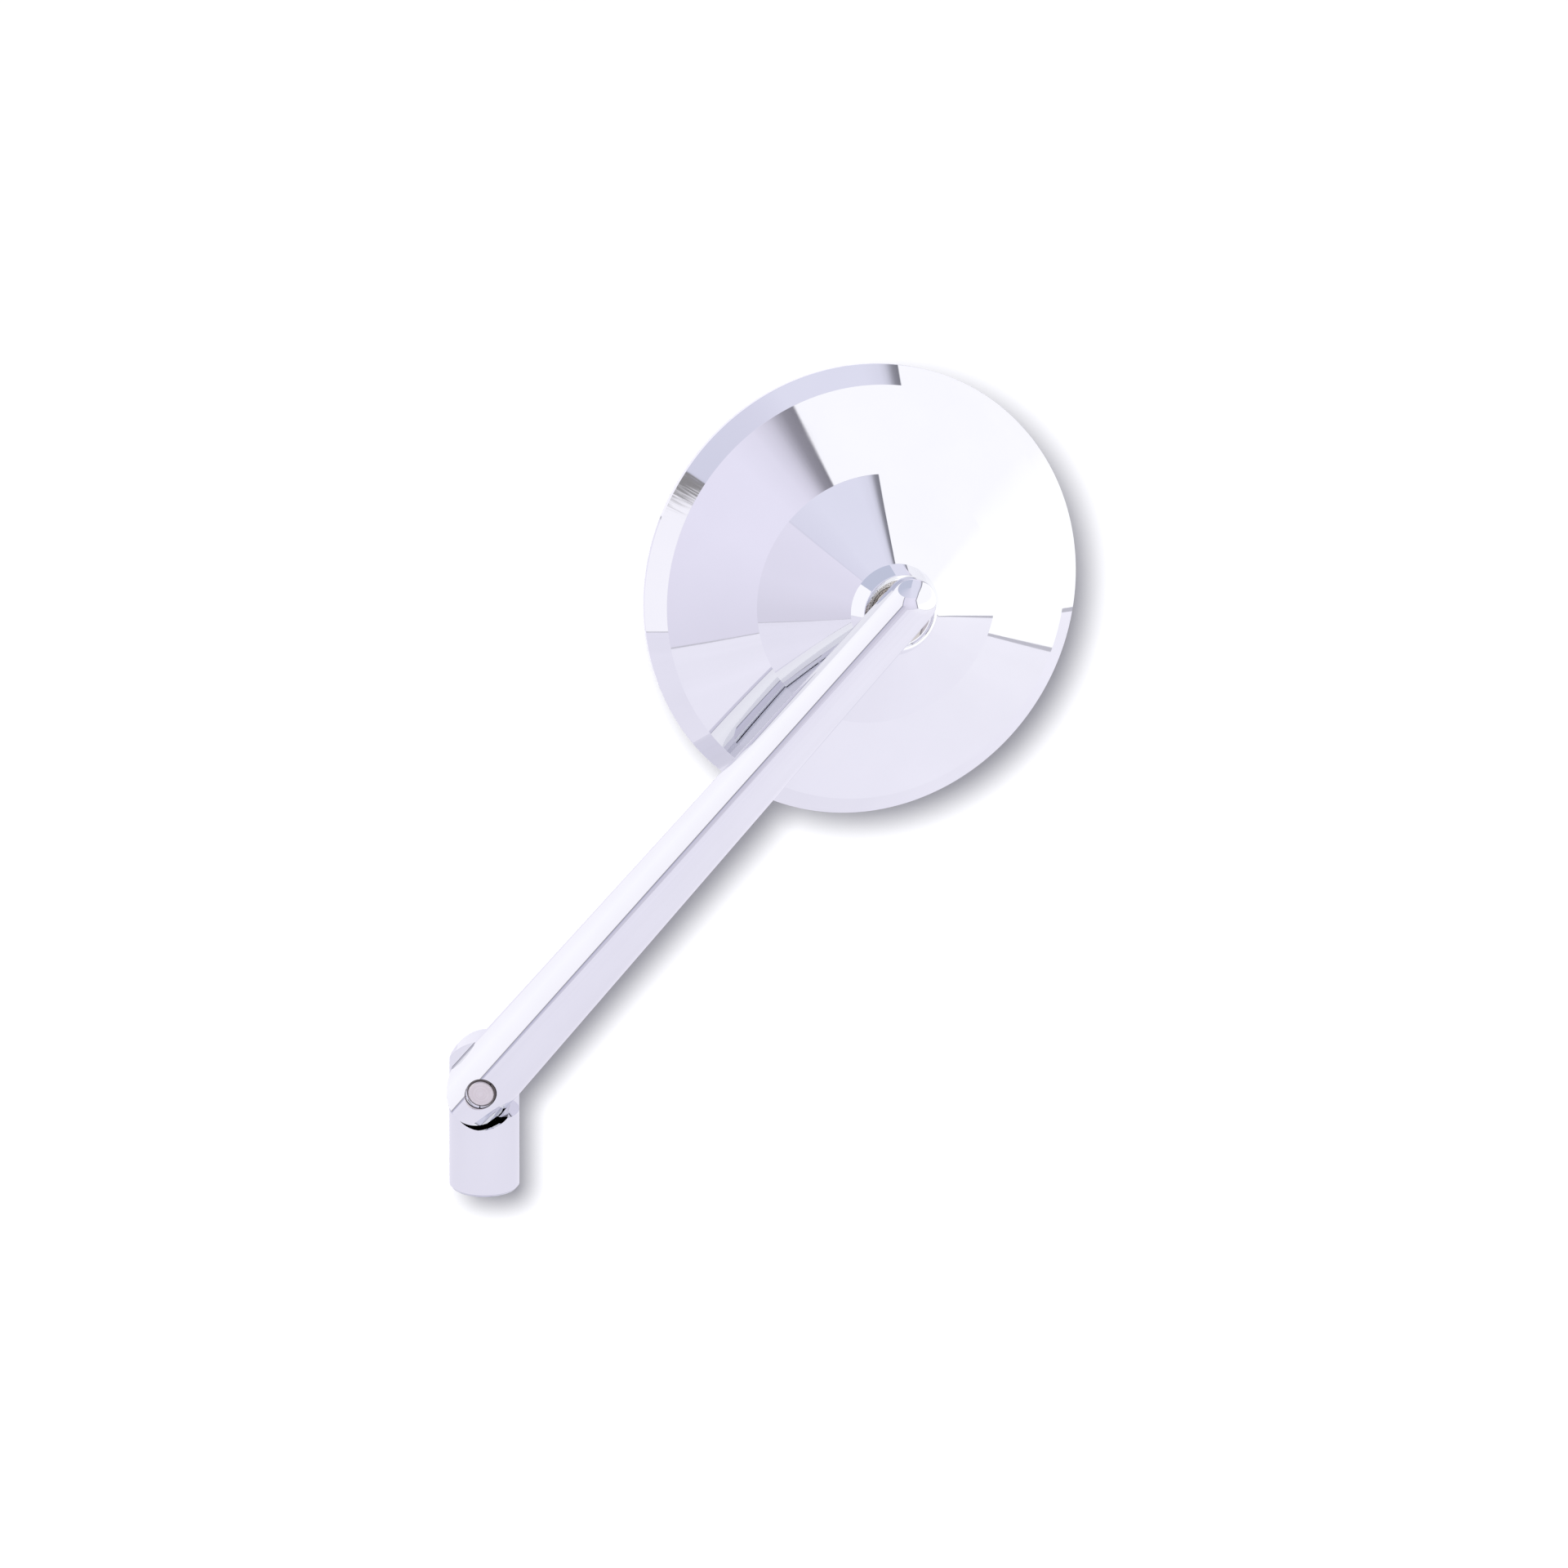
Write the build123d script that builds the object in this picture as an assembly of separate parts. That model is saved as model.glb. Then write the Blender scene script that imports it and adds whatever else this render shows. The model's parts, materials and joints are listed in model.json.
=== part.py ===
from build123d import *
from math import acos, asin, cos, degrees, radians, sin, sqrt, tan
import os

# A round chromed motorcycle mirror on a swinging arm, in millimetres and degrees.
# The foot stands on Z = 0 with its tapped hole at the origin. The arm swings about
# a screw along Y and leans towards +X. The back of the head looks towards -Y and
# its glass towards +Y.

# Clearances shared by all pieces
thread_clearance = 0.02
running_clearance = 0.05
ball_clearance = 0.1
seat_clearance = 0.2
neck_clearance = 0.25
pocket_clearance = 0.65

# Foot, and the hole that takes the handlebar's M10 stud
foot_diameter = 16.0
foot_edge = 0.5
mount_bore_diameter = 8.8
mount_bore_depth = 12.0
drill_point_rise = 2.4
bore_roof = 2.15

# Half-lap knuckle
lap_gap = 0.3
tongue_overhang = 1.9
foot_shoulder_drop = 6.5
arm_end_overhang = 0.3
arm_shoulder_rise = 8.0
washer_margin = 2.0
washer_thickness = 0.8
tongue_web = 2.4

# Pivot screw, and the dished springs under its head and in the socket
screw_diameter = 6.0
screw_head_diameter = 10.0
screw_head_height = 2.4
screw_head_edge = 0.4
screw_socket_size = 4.0
screw_socket_depth = 1.6
screw_end_chamfer = 0.3
screw_end_inset = 0.6
screw_window_diameter = 6.7
screw_window_depth = 2.0
window_sink_depth = 1.1
window_sink_angle = 60.0
spring_thickness = 0.6
spring_dish = 0.4

# Arm
arm_lean = 38.7
arm_length = 156.8
arm_root_step = 0.4
arm_tip_diameter = 11.6

# Ball stud
stud_setback = 11.0
ball_diameter = 12.0
neck_diameter = 6.0
neck_flats = 5.0
neck_flats_length = 3.0
flange_diameter = 8.5
flange_thickness = 1.0
flange_sink = 0.4
stud_thread_diameter = 6.0
stud_thread_length = 8.0
stud_hole_spare = 1.0
collar_arm_gap = 1.2

# Pose of the head on its ball: turned to +X, then tipped up, and what it can still tip
head_pan = 26.5
head_tilt = 8.0
tip_margin = 3.0

# Back of the head, from its widest circle up
head_diameter = 105.0
rim_band_width = 4.1
rim_band_height = 3.7
crease_diameter = 58.2
outer_cone_rise = 6.9
inner_cone_rise = 12.0
collar_flare = 1.8
collar_rise = 3.8
collar_wall = 0.8
collar_edge = 0.3
shell_wall = 3.0

# Front of the head and its glass
rim_depth = 2.5
rim_draft = 0.6
rim_edge = 0.5
lip_width = 2.2
lip_edge = 0.3
ledge_width = 3.2
glass_edge_gap = 0.25
glass_recess = 0.7
glass_thickness = 2.4
glass_curvature = 1200.0
tape_thickness = 0.8
tape_margin = 0.3

# Ball socket, with polar angles measured at the ball from the head's axis
ball_inset = 7.4
mouth_step = 0.8
seat_angle_margin = 2.0
seat_thickness = 1.05
upper_seat_span = 18.0
lower_seat_from = 105.0
cup_from = 122.0
cup_floor = 1.4
plug_thread_depth = 0.8
plug_thickness = 4.0
plug_socket_size = 8.0
plug_socket_depth = 2.5
plug_inset = 0.4
boss_wall = 2.8

# Knuckle sizes that follow, with places along Y from the arm's lap face to the screw's head
foot_radius = foot_diameter / 2
arm_root_diameter = foot_diameter - arm_root_step
arm_root_radius = arm_root_diameter / 2
arm_tip_radius = arm_tip_diameter / 2
tongue_radius = foot_radius + tongue_overhang
arm_end_radius = arm_root_radius + arm_end_overhang
foot_pocket_radius = arm_end_radius + pocket_clearance
arm_pocket_radius = tongue_radius + pocket_clearance
pivot_height = mount_bore_depth + drill_point_rise + bore_roof + foot_pocket_radius
screw_radius = screw_diameter / 2
washer_radius = foot_radius - washer_margin
spring_height = spring_thickness + spring_dish
arm_face = -lap_gap / 2
tongue_face = lap_gap / 2
washer_back = arm_face + washer_thickness
spring_seat = washer_back + tongue_web
head_seat = spring_seat + spring_height
head_back = head_seat + screw_head_height
screw_end = screw_end_inset - arm_root_radius
window_floor = screw_window_depth - arm_root_radius
reach = foot_diameter + arm_root_diameter

# Socket sizes that follow, with heights from the ball's centre along the head's axis
tip_limit = degrees(acos(cos(radians(head_pan)) * cos(radians(head_tilt)))) + tip_margin
ball_radius = ball_diameter / 2
neck_radius = neck_diameter / 2
seat_inner_radius = ball_radius + ball_clearance
seat_outer_radius = seat_inner_radius + seat_thickness
socket_radius = seat_outer_radius + ball_clearance
mouth_lip_angle = degrees(asin(neck_radius / seat_inner_radius)) + tip_limit
upper_seat_from = mouth_lip_angle + seat_angle_margin
plug_radius = socket_radius + plug_thread_depth
boss_radius = plug_radius + boss_wall
cup_bottom = -(socket_radius + cup_floor)
plug_top = cup_bottom - spring_height
plug_bottom = plug_top - plug_thickness
boss_bottom = plug_bottom - plug_inset


def neck_reach(height: float) -> float:
    """Radius that the fully tipped neck sweeps at a height above the ball's centre."""
    limit = radians(tip_limit)
    return height * tan(limit) + neck_radius / cos(limit)


mouth_radius = neck_reach(ball_inset) + neck_clearance
mouth_step_radius = neck_reach(ball_inset - mouth_step) + neck_clearance
collar_rim_radius = mouth_radius + collar_wall
collar_radius = collar_rim_radius + collar_flare

# Heights of the head that follow, from its widest circle
crease_height = rim_band_height + outer_cone_rise
collar_base_height = crease_height + inner_cone_rise
collar_height = collar_base_height + collar_rise
ball_height = collar_height - ball_inset
glass_edge_front = glass_recess - rim_depth
glass_edge_back = glass_edge_front + glass_thickness
ledge_height = glass_edge_back + tape_thickness
head_radius = head_diameter / 2
rim_front_radius = head_radius - rim_draft
recess_radius = rim_front_radius - rim_edge - lip_width
ledge_radius = recess_radius - ledge_width
glass_radius = recess_radius - glass_edge_gap


def arm_radius(station: float) -> float:
    """Radius of the tapering bar at a distance from the pivot."""
    return arm_root_radius + (arm_tip_radius - arm_root_radius) * station / arm_length


# Ball stud, with heights from the ball's centre towards the arm
stud_station = arm_length - stud_setback
collar_reach = ball_inset * cos(radians(tip_limit)) + collar_rim_radius * sin(radians(tip_limit))
stud_stand_off = collar_reach + collar_arm_gap + arm_radius(stud_station)
flange_seat = collar_reach + collar_arm_gap + flange_sink
flange_start = flange_seat - flange_thickness

# Frames of the arm, of the ball stud and of the head
pivot_point = Vector(0, 0, pivot_height)
arm_frame = Location(pivot_point, (0, arm_lean, 0))
arm_axis = Vector(sin(radians(arm_lean)), 0, cos(radians(arm_lean)))
ball_centre = pivot_point + arm_axis * stud_station + Vector(0, stud_stand_off, 0)
stud_frame = Plane(origin=ball_centre, x_dir=arm_axis, z_dir=(0, -1, 0)).location
head_level = Vector(cos(radians(head_pan)), sin(radians(head_pan)), 0)
head_axis = Vector(
    sin(radians(head_pan)) * cos(radians(head_tilt)),
    -cos(radians(head_pan)) * cos(radians(head_tilt)),
    sin(radians(head_tilt)),
)
head_frame = Plane(origin=ball_centre, x_dir=head_level, z_dir=head_axis).location


def turned(*points: tuple) -> Part:
    """Solid of revolution about Z of a closed outline given as (radius, height) points."""
    outline = Polyline(*[(radius, 0, height) for radius, height in points], close=True)
    return revolve(make_face(outline), Axis.Z)


def on_sphere(radius: float, polar: float) -> tuple:
    """Point in the XZ plane on a sphere about the origin, at an angle from +Z."""
    return (radius * sin(radians(polar)), 0, radius * cos(radians(polar)))


def sphere_arc(radius: float, start: float, end: float) -> Edge:
    """Arc in the XZ plane on a sphere about the origin, between two angles from +Z."""
    angles = (start, (start + end) / 2, end)
    return ThreePointArc(*[on_sphere(radius, angle) for angle in angles])


def between(first: Edge, second: Edge) -> Part:
    """Solid of revolution about Z of the strip between two edges of like direction."""
    ends = [Line(first @ end, second @ end) for end in (0, 1)]
    return revolve(make_face([first, second] + ends), Axis.Z)


def facing_back(place: float) -> Location:
    """Frame on the pivot's axis at a place along Y, with its Z axis towards +Y."""
    return Plane(origin=(0, place, 0), x_dir=(1, 0, 0), z_dir=(0, 1, 0)).location


def along_y(radius: float, start: float, end: float) -> Part:
    """Cylinder about the pivot's axis, between two places on Y."""
    rod = Cylinder(radius, end - start, align=(Align.CENTER, Align.CENTER, Align.MIN))
    return facing_back(start) * rod


def block(x_span: tuple, y_span: tuple, z_span: tuple) -> Part:
    """Box between the two ends of a span on each axis."""
    spans = (x_span, y_span, z_span)
    middle = [(low + high) / 2 for low, high in spans]
    return Pos(*middle) * Box(*[high - low for low, high in spans])


def dished_ring(inner: float, outer: float) -> Part:
    """Spring washer that rests on Z = 0 on its outer edge and rises towards its bore."""
    return turned((inner, spring_dish), (outer, 0), (outer, spring_thickness), (inner, spring_height))


def hex_pocket(size: float, depth: float) -> Part:
    """Hexagonal pocket below Z = 0, sized across its flats."""
    return extrude(RegularPolygon(size / 2, 6, major_radius=False), -depth)


def make_mount_foot() -> Part:
    """Round foot with a tongue behind, an arc pocket in front and a tapped hole below."""
    top = pivot_height + tongue_radius
    foot = turned(
        (0, 0),
        (foot_radius - foot_edge, 0),
        (foot_radius, foot_edge),
        (foot_radius, top),
        (0, top),
    )
    above = block((-reach, reach), (-reach, reach), (0, reach))
    dome = along_y(tongue_radius, -reach, reach)
    front = block((-reach, reach), (-reach, tongue_face), (-foot_shoulder_drop, reach))
    pocket = along_y(foot_pocket_radius, -reach, tongue_face)
    recess = along_y(washer_radius + seat_clearance, tongue_face, washer_back)
    bore = along_y(screw_radius + running_clearance, tongue_face, spring_seat)
    counterbore = along_y(screw_head_diameter / 2 + seat_clearance, spring_seat, reach)
    bore_radius = mount_bore_diameter / 2
    hole = turned(
        (0, 0),
        (bore_radius, 0),
        (bore_radius, mount_bore_depth),
        (0, mount_bore_depth + drill_point_rise),
    )
    cuts = (above - dome) + front + pocket + recess + bore + counterbore
    return foot - Pos(*pivot_point) * cuts - hole


def make_lap_washer() -> Part:
    """Flat friction washer, sunk in the tongue and bearing on the arm."""
    disc = along_y(washer_radius, arm_face, washer_back)
    hole = along_y(screw_radius + seat_clearance, arm_face, washer_back)
    return Pos(*pivot_point) * (disc - hole)


def make_arm_stem() -> Part:
    """Tapering bar with a ball nose, a half-lap end and the stud's tapped hole."""
    root = -2 * arm_end_radius
    bar = turned((0, root), (arm_radius(root), root), (arm_tip_radius, arm_length), (0, arm_length))
    bar += Pos(0, 0, arm_length) * Sphere(arm_tip_radius)
    below = block((-reach, reach), (-reach, reach), (2 * root, 0))
    end = along_y(arm_end_radius, -reach, reach)
    back = block((-reach, reach), (arm_face, reach), (2 * root, arm_shoulder_rise))
    pocket = along_y(arm_pocket_radius, arm_face, reach)
    bore = along_y(screw_radius + thread_clearance, window_floor, arm_face)
    window = along_y(screw_window_diameter / 2, -reach, window_floor)
    sink_height = 2 * window_sink_depth
    sink_mouth = screw_window_diameter / 2 + sink_height * tan(radians(window_sink_angle / 2))
    sink = Rot(90, 0, 0) * Cone(screw_window_diameter / 2, sink_mouth, sink_height)
    sink = Pos(0, -arm_root_radius, 0) * sink
    stem = arm_frame * (bar - ((below - end) + back + pocket + bore + window + sink))
    seat_radius = flange_diameter / 2 + seat_clearance
    hole_radius = stud_thread_diameter / 2 + thread_clearance
    hole_end = flange_seat + stud_thread_length + stud_hole_spare
    stud_cut = turned(
        (0, 0),
        (seat_radius, 0),
        (seat_radius, flange_seat),
        (hole_radius, flange_seat),
        (hole_radius, hole_end),
        (0, hole_end),
    )
    return stem - stud_frame * stud_cut


def make_pivot_screw() -> Part:
    """Low-headed cap screw, from its head behind the tongue to its end in the arm."""
    cap_radius = screw_head_diameter / 2
    length = head_seat - screw_end
    total = head_back - screw_end
    screw = turned(
        (0, 0),
        (screw_radius - screw_end_chamfer, 0),
        (screw_radius, screw_end_chamfer),
        (screw_radius, length),
        (cap_radius, length),
        (cap_radius, total - screw_head_edge),
        (cap_radius - screw_head_edge, total),
        (0, total),
    )
    key = facing_back(head_back) * hex_pocket(screw_socket_size, screw_socket_depth)
    return Pos(*pivot_point) * (facing_back(screw_end) * screw - key)


def make_disc_spring() -> Part:
    """Dished spring between the tongue and the screw's head."""
    ring = dished_ring(screw_radius + seat_clearance, screw_head_diameter / 2)
    return Pos(*pivot_point) * (facing_back(spring_seat) * ring)


def make_ball_stud() -> Part:
    """Ball, neck with two spanner flats, flange and threaded shank, turned in one."""
    neck_start = sqrt(ball_radius**2 - neck_radius**2)
    flange_radius = flange_diameter / 2
    thread_radius = stud_thread_diameter / 2
    stud_end = flange_seat + stud_thread_length
    outline = Polyline(
        (neck_radius, 0, neck_start),
        (neck_radius, 0, flange_start),
        (flange_radius, 0, flange_start),
        (flange_radius, 0, flange_seat),
        (thread_radius, 0, flange_seat),
        (thread_radius, 0, stud_end),
        (0, 0, stud_end),
        (0, 0, -ball_radius),
    )
    ball = sphere_arc(ball_radius, 180, degrees(asin(neck_radius / ball_radius)))
    stud = revolve(make_face(outline.edges() + [ball]), Axis.Z)
    flats = (flange_start - neck_flats_length, flange_start)
    for side in (-1, 1):
        cut = sorted((side * neck_flats / 2, side * neck_diameter))
        stud -= block(cut, (-neck_diameter, neck_diameter), flats)
    return stud_frame * stud


def seat_ring(polar_from: float, polar_to: float) -> Part:
    """Spherical seat between the ball and its socket, between two polar angles."""
    inner = sphere_arc(seat_inner_radius, polar_from, polar_to)
    outer = sphere_arc(seat_outer_radius, polar_from, polar_to)
    return head_frame * between(inner, outer)


def make_upper_seat() -> Part:
    """Ring that the ball pulls against, round the stud's neck."""
    return seat_ring(upper_seat_from, upper_seat_from + upper_seat_span)


def make_lower_seat() -> Part:
    """Cup that presses on the ball from the glass side."""
    return seat_ring(lower_seat_from, 180)


def from_rim(radius: float, height: float) -> tuple:
    """Point of the head in the XZ plane, at a height above its widest circle."""
    return (radius, 0, height - ball_height)


def make_mirror_housing() -> Part:
    """Turned shell: stepped-cone back, collar with the ball's socket, rim for the glass."""
    band_radius = head_radius - rim_band_width
    crease_radius = crease_diameter / 2
    outer_slope = outer_cone_rise / (band_radius - crease_radius)
    inner_slope = inner_cone_rise / (crease_radius - collar_radius)
    outer_length = sqrt(1 + outer_slope**2)
    inner_length = sqrt(1 + inner_slope**2)
    crease_shift = shell_wall * (outer_slope + inner_slope) / (outer_length + inner_length)
    inner_crease = crease_height + outer_slope * crease_shift - shell_wall * outer_length
    boss_rise = inner_slope * (crease_radius - boss_radius)
    boss_top = crease_height + boss_rise - shell_wall * inner_length
    collar_draft = collar_flare / collar_rise
    thread_radius = plug_radius + thread_clearance
    outline = Polyline(
        (socket_radius, 0, 0),
        (socket_radius, 0, plug_top),
        (thread_radius, 0, plug_top),
        (thread_radius, 0, boss_bottom),
        (boss_radius, 0, boss_bottom),
        from_rim(boss_radius, boss_top),
        from_rim(crease_radius - crease_shift, inner_crease),
        from_rim(ledge_radius, ledge_height),
        from_rim(recess_radius, ledge_height),
        from_rim(recess_radius, lip_edge - rim_depth),
        from_rim(recess_radius + lip_edge, -rim_depth),
        from_rim(rim_front_radius - rim_edge, -rim_depth),
        from_rim(rim_front_radius, rim_edge - rim_depth),
        from_rim(head_radius, 0),
        from_rim(band_radius, rim_band_height),
        from_rim(crease_radius, crease_height),
        from_rim(collar_radius, collar_base_height),
        from_rim(collar_rim_radius + collar_draft * collar_edge, collar_height - collar_edge),
        from_rim(collar_rim_radius - collar_edge, collar_height),
        from_rim(mouth_radius, collar_height),
        from_rim(mouth_radius, collar_height - mouth_step),
        from_rim(mouth_step_radius, collar_height - mouth_step),
        on_sphere(socket_radius, mouth_lip_angle),
    )
    seat = sphere_arc(socket_radius, mouth_lip_angle, 90)
    return head_frame * revolve(make_face(outline.edges() + [seat]), Axis.Z)


def make_pressure_cup() -> Part:
    """Metal cup that slides in the socket's bore and backs the lower seat."""
    hollow = sphere_arc(socket_radius, cup_from, 180)
    cup_radius = socket_radius - running_clearance
    rim = hollow @ 0
    outline = Polyline(
        hollow @ 1,
        (0, 0, cup_bottom),
        (cup_radius, 0, cup_bottom),
        (cup_radius, 0, rim.Z),
        rim,
    )
    return head_frame * revolve(make_face(outline.edges() + [hollow]), Axis.Z)


def make_cup_spring() -> Part:
    """Dished spring between the plug and the pressure cup."""
    outer = socket_radius - seat_clearance
    return head_frame * (Pos(0, 0, plug_top) * dished_ring(outer / 2, outer))


def make_socket_plug() -> Part:
    """Threaded plug with a key socket, screwed in from the glass side."""
    plug = turned((0, plug_bottom), (plug_radius, plug_bottom), (plug_radius, plug_top), (0, plug_top))
    face = Plane(origin=(0, 0, plug_bottom), x_dir=(1, 0, 0), z_dir=(0, 0, -1)).location
    return head_frame * (plug - face * hex_pocket(plug_socket_size, plug_socket_depth))


def glass_arc(edge_height: float, inner: float, outer: float) -> Edge:
    """Arc of one face of the bent glass in the XZ plane, between two radii."""
    edge_sag = sqrt(glass_curvature**2 - glass_radius**2)
    points = []
    for radius in (inner, (inner + outer) / 2, outer):
        rise = sqrt(glass_curvature**2 - radius**2) - edge_sag
        points.append(from_rim(radius, edge_height - rise))
    return ThreePointArc(*points)


def make_mirror_glass() -> Part:
    """Round glass, bent to a shallow dome and silvered on its back."""
    front = glass_arc(glass_edge_front, 0, glass_radius)
    back = glass_arc(glass_edge_back, 0, glass_radius)
    return head_frame * between(front, back)


def make_glass_tape() -> Part:
    """Ring of adhesive tape between the glass and the ledge in the rim."""
    inner = ledge_radius + tape_margin
    outer = glass_radius - tape_margin
    front = glass_arc(glass_edge_back, inner, outer)
    back = Line(from_rim(inner, ledge_height), from_rim(outer, ledge_height))
    return head_frame * between(front, back)


pieces = {
    "mount_foot": make_mount_foot,
    "lap_washer": make_lap_washer,
    "arm_stem": make_arm_stem,
    "pivot_screw": make_pivot_screw,
    "disc_spring": make_disc_spring,
    "ball_stud": make_ball_stud,
    "upper_seat": make_upper_seat,
    "lower_seat": make_lower_seat,
    "mirror_housing": make_mirror_housing,
    "pressure_cup": make_pressure_cup,
    "cup_spring": make_cup_spring,
    "socket_plug": make_socket_plug,
    "glass_tape": make_glass_tape,
    "mirror_glass": make_mirror_glass,
}

os.makedirs("parts", exist_ok=True)
for name, make in pieces.items():
    export_step(make(), f"parts/{name}.step")
print(
    f"{len(pieces)} pieces, pivot height {pivot_height:.3f}, ball centre {ball_centre},"
    f" head axis {head_axis}, tip limit {tip_limit:.2f}"
)
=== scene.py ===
"""Looks of a round chromed motorcycle mirror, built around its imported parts, in metres.

The foot's underside is at the origin, the arm leans towards +X and the back of the head
looks towards -Y, where the camera stands.
"""

import json
import logging
from dataclasses import dataclass
from enum import Enum
from math import acos, asin, cos, degrees, pi, radians, sin, sqrt, tan, tau
from typing import Any, Iterable, Optional, Sequence

import bpy
from bpy.types import Material, Node, NodeSocket, NodeTree, Object
from mathutils import Matrix, Vector

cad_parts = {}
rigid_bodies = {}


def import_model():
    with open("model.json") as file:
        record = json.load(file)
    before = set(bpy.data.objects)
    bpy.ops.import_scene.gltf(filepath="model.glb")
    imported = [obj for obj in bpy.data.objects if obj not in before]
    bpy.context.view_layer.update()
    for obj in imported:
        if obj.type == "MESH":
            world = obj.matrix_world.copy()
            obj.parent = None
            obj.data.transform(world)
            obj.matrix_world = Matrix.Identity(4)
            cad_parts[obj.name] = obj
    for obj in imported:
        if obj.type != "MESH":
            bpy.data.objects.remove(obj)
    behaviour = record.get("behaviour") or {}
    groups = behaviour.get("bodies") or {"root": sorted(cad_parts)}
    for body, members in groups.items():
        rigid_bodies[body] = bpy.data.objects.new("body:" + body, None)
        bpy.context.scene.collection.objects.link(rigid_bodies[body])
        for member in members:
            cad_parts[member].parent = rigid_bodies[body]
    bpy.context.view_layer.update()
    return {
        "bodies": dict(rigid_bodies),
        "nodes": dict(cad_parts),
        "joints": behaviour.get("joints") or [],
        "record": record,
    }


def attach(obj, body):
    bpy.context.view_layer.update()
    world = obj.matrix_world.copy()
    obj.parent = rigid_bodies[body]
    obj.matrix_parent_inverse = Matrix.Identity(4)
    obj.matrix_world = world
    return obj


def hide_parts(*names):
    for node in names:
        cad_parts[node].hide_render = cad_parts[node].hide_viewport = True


log = logging.getLogger("mirror")

MM = 0.001
FINE_STEPS = 320
SMALL_STEPS = 160
WELD = 0.0005 * MM
Z_TO_Y = Matrix.Rotation(radians(-90), 4, "X")

Colour = tuple[float, float, float]
Pair = tuple[float, float]


class Body(Enum):
    """Moving bodies that the pieces ride on."""

    FOOT = "foot"
    ARM = "arm"
    HEAD = "head"


class Slot(Enum):
    """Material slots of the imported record."""

    CHROME_FOOT = "chrome_foot"
    CHROME_ARM = "chrome_arm"
    CHROME_HEAD = "chrome_head"
    WASHER = "washer"
    SCREW_STEEL = "screw_steel"
    SPRING_STEEL = "spring_steel"
    STUD_STEEL = "stud_steel"
    SEAT = "seat"
    CUP_ALLOY = "cup_alloy"
    TAPE = "tape"
    MIRROR = "mirror"


class Axis(Enum):
    """Axes that the round faces of the cut pieces turn about."""

    SCREW = Vector((0.0, 1.0, 0.0))
    LENGTH = Vector((0.0, 0.0, 1.0))


class Crisp(Enum):
    """Angles in degrees over which an edge keeps a crisp shade."""

    STEEL = 28.0
    TURNED = 30.0
    CUT = 32.0


@dataclass(frozen=True)
class Corner:
    """One corner of an outline to be turned, with the rounding of its edge."""

    reach: float
    height: float
    rounding: float = 0.0


def grey(level: float) -> Colour:
    """A neutral colour of one level."""
    return (level, level, level)


def arc(radius: float, centre: float, start: float, end: float, count: int) -> list[Corner]:
    """Corners along a circle about a point on the turning axis.

    Args:
        radius: Radius of the circle.
        centre: Height of its centre.
        start: First angle in degrees from the turning axis.
        end: Last angle in degrees.
        count: How many spans the arc has.

    Returns:
        The corners, both ends included.
    """
    angles = [radians(start + (end - start) * step / count) for step in range(count + 1)]
    return [Corner(max(radius * sin(angle), 0.0), centre + radius * cos(angle)) for angle in angles]


def rounded(corners: Sequence[Corner], closed: bool, spans: int = 4, hold: float = 1.3) -> list[Pair]:
    """Replaces each corner that has a rounding by an arc with a holding point at either side.

    Args:
        corners: The outline.
        closed: Whether the last corner joins the first.
        spans: How many spans each rounding has.
        hold: How far out the holding points stand, where the arc's own ends are at 1.

    Returns:
        The points of the outline as (reach, height).
    """
    points: list[Pair] = []
    for index, corner in enumerate(corners):
        here = Vector((corner.reach, corner.height))
        inside = closed or 0 < index < len(corners) - 1
        if corner.rounding <= 0 or not inside:
            points.append(tuple(here))
            continue
        before = corners[index - 1]
        after = corners[(index + 1) % len(corners)]
        back = (Vector((before.reach, before.height)) - here).normalized()
        ahead = (Vector((after.reach, after.height)) - here).normalized()
        half = acos(max(-1.0, min(1.0, back.dot(ahead)))) / 2
        run = corner.rounding / tan(half)
        middle = here + (back + ahead).normalized() * corner.rounding / sin(half)
        side = here + back * run - middle
        sweep = pi - 2 * half
        turn_way = 1.0 if side.x * ahead.y - side.y * ahead.x > 0 else -1.0
        points.append(tuple(here + back * run * hold))
        for step in range(spans + 1):
            turned_side = Matrix.Rotation(turn_way * sweep * step / spans, 2) @ side
            points.append(tuple(middle + turned_side))
        points.append(tuple(here + ahead * run * hold))
    return points


def clear_selection() -> None:
    """Leaves object mode's selection empty, so that an operator acts on the new piece alone."""
    if bpy.context.object and bpy.context.object.mode != "OBJECT":
        bpy.ops.object.mode_set(mode="OBJECT")
    bpy.ops.object.select_all(action="DESELECT")


def pick(piece: Object) -> None:
    """Makes one piece the only one selected, and active.

    Args:
        piece: The piece.
    """
    clear_selection()
    piece.select_set(True)
    bpy.context.view_layer.objects.active = piece


def wire(name: str, outline: Sequence[Pair]) -> Object:
    """Draws an outline in the XZ plane, point by point, and stays in edit mode.

    Args:
        name: Name of the new piece.
        outline: Points as (reach, height).

    Returns:
        The wire, all of it selected.
    """
    clear_selection()
    bpy.ops.mesh.primitive_plane_add(size=MM)
    piece = bpy.context.object
    piece.name = piece.data.name = name
    bpy.ops.object.mode_set(mode="EDIT")
    bpy.ops.mesh.merge(type="CENTER")
    bpy.ops.transform.translate(value=(outline[0][0], 0.0, outline[0][1]))
    for here, there in zip(outline, outline[1:]):
        move = (there[0] - here[0], 0.0, there[1] - here[1])
        bpy.ops.mesh.extrude_vertices_move(TRANSFORM_OT_translate={"value": move})
    bpy.ops.mesh.select_all(action="SELECT")
    return piece


def close_mesh() -> None:
    """Merges the seams of the mesh in edit mode, turns its faces outwards and leaves edit mode."""
    bpy.ops.mesh.select_all(action="SELECT")
    bpy.ops.mesh.remove_doubles(threshold=WELD)
    bpy.ops.mesh.normals_make_consistent(inside=False)
    bpy.ops.object.mode_set(mode="OBJECT")


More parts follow.
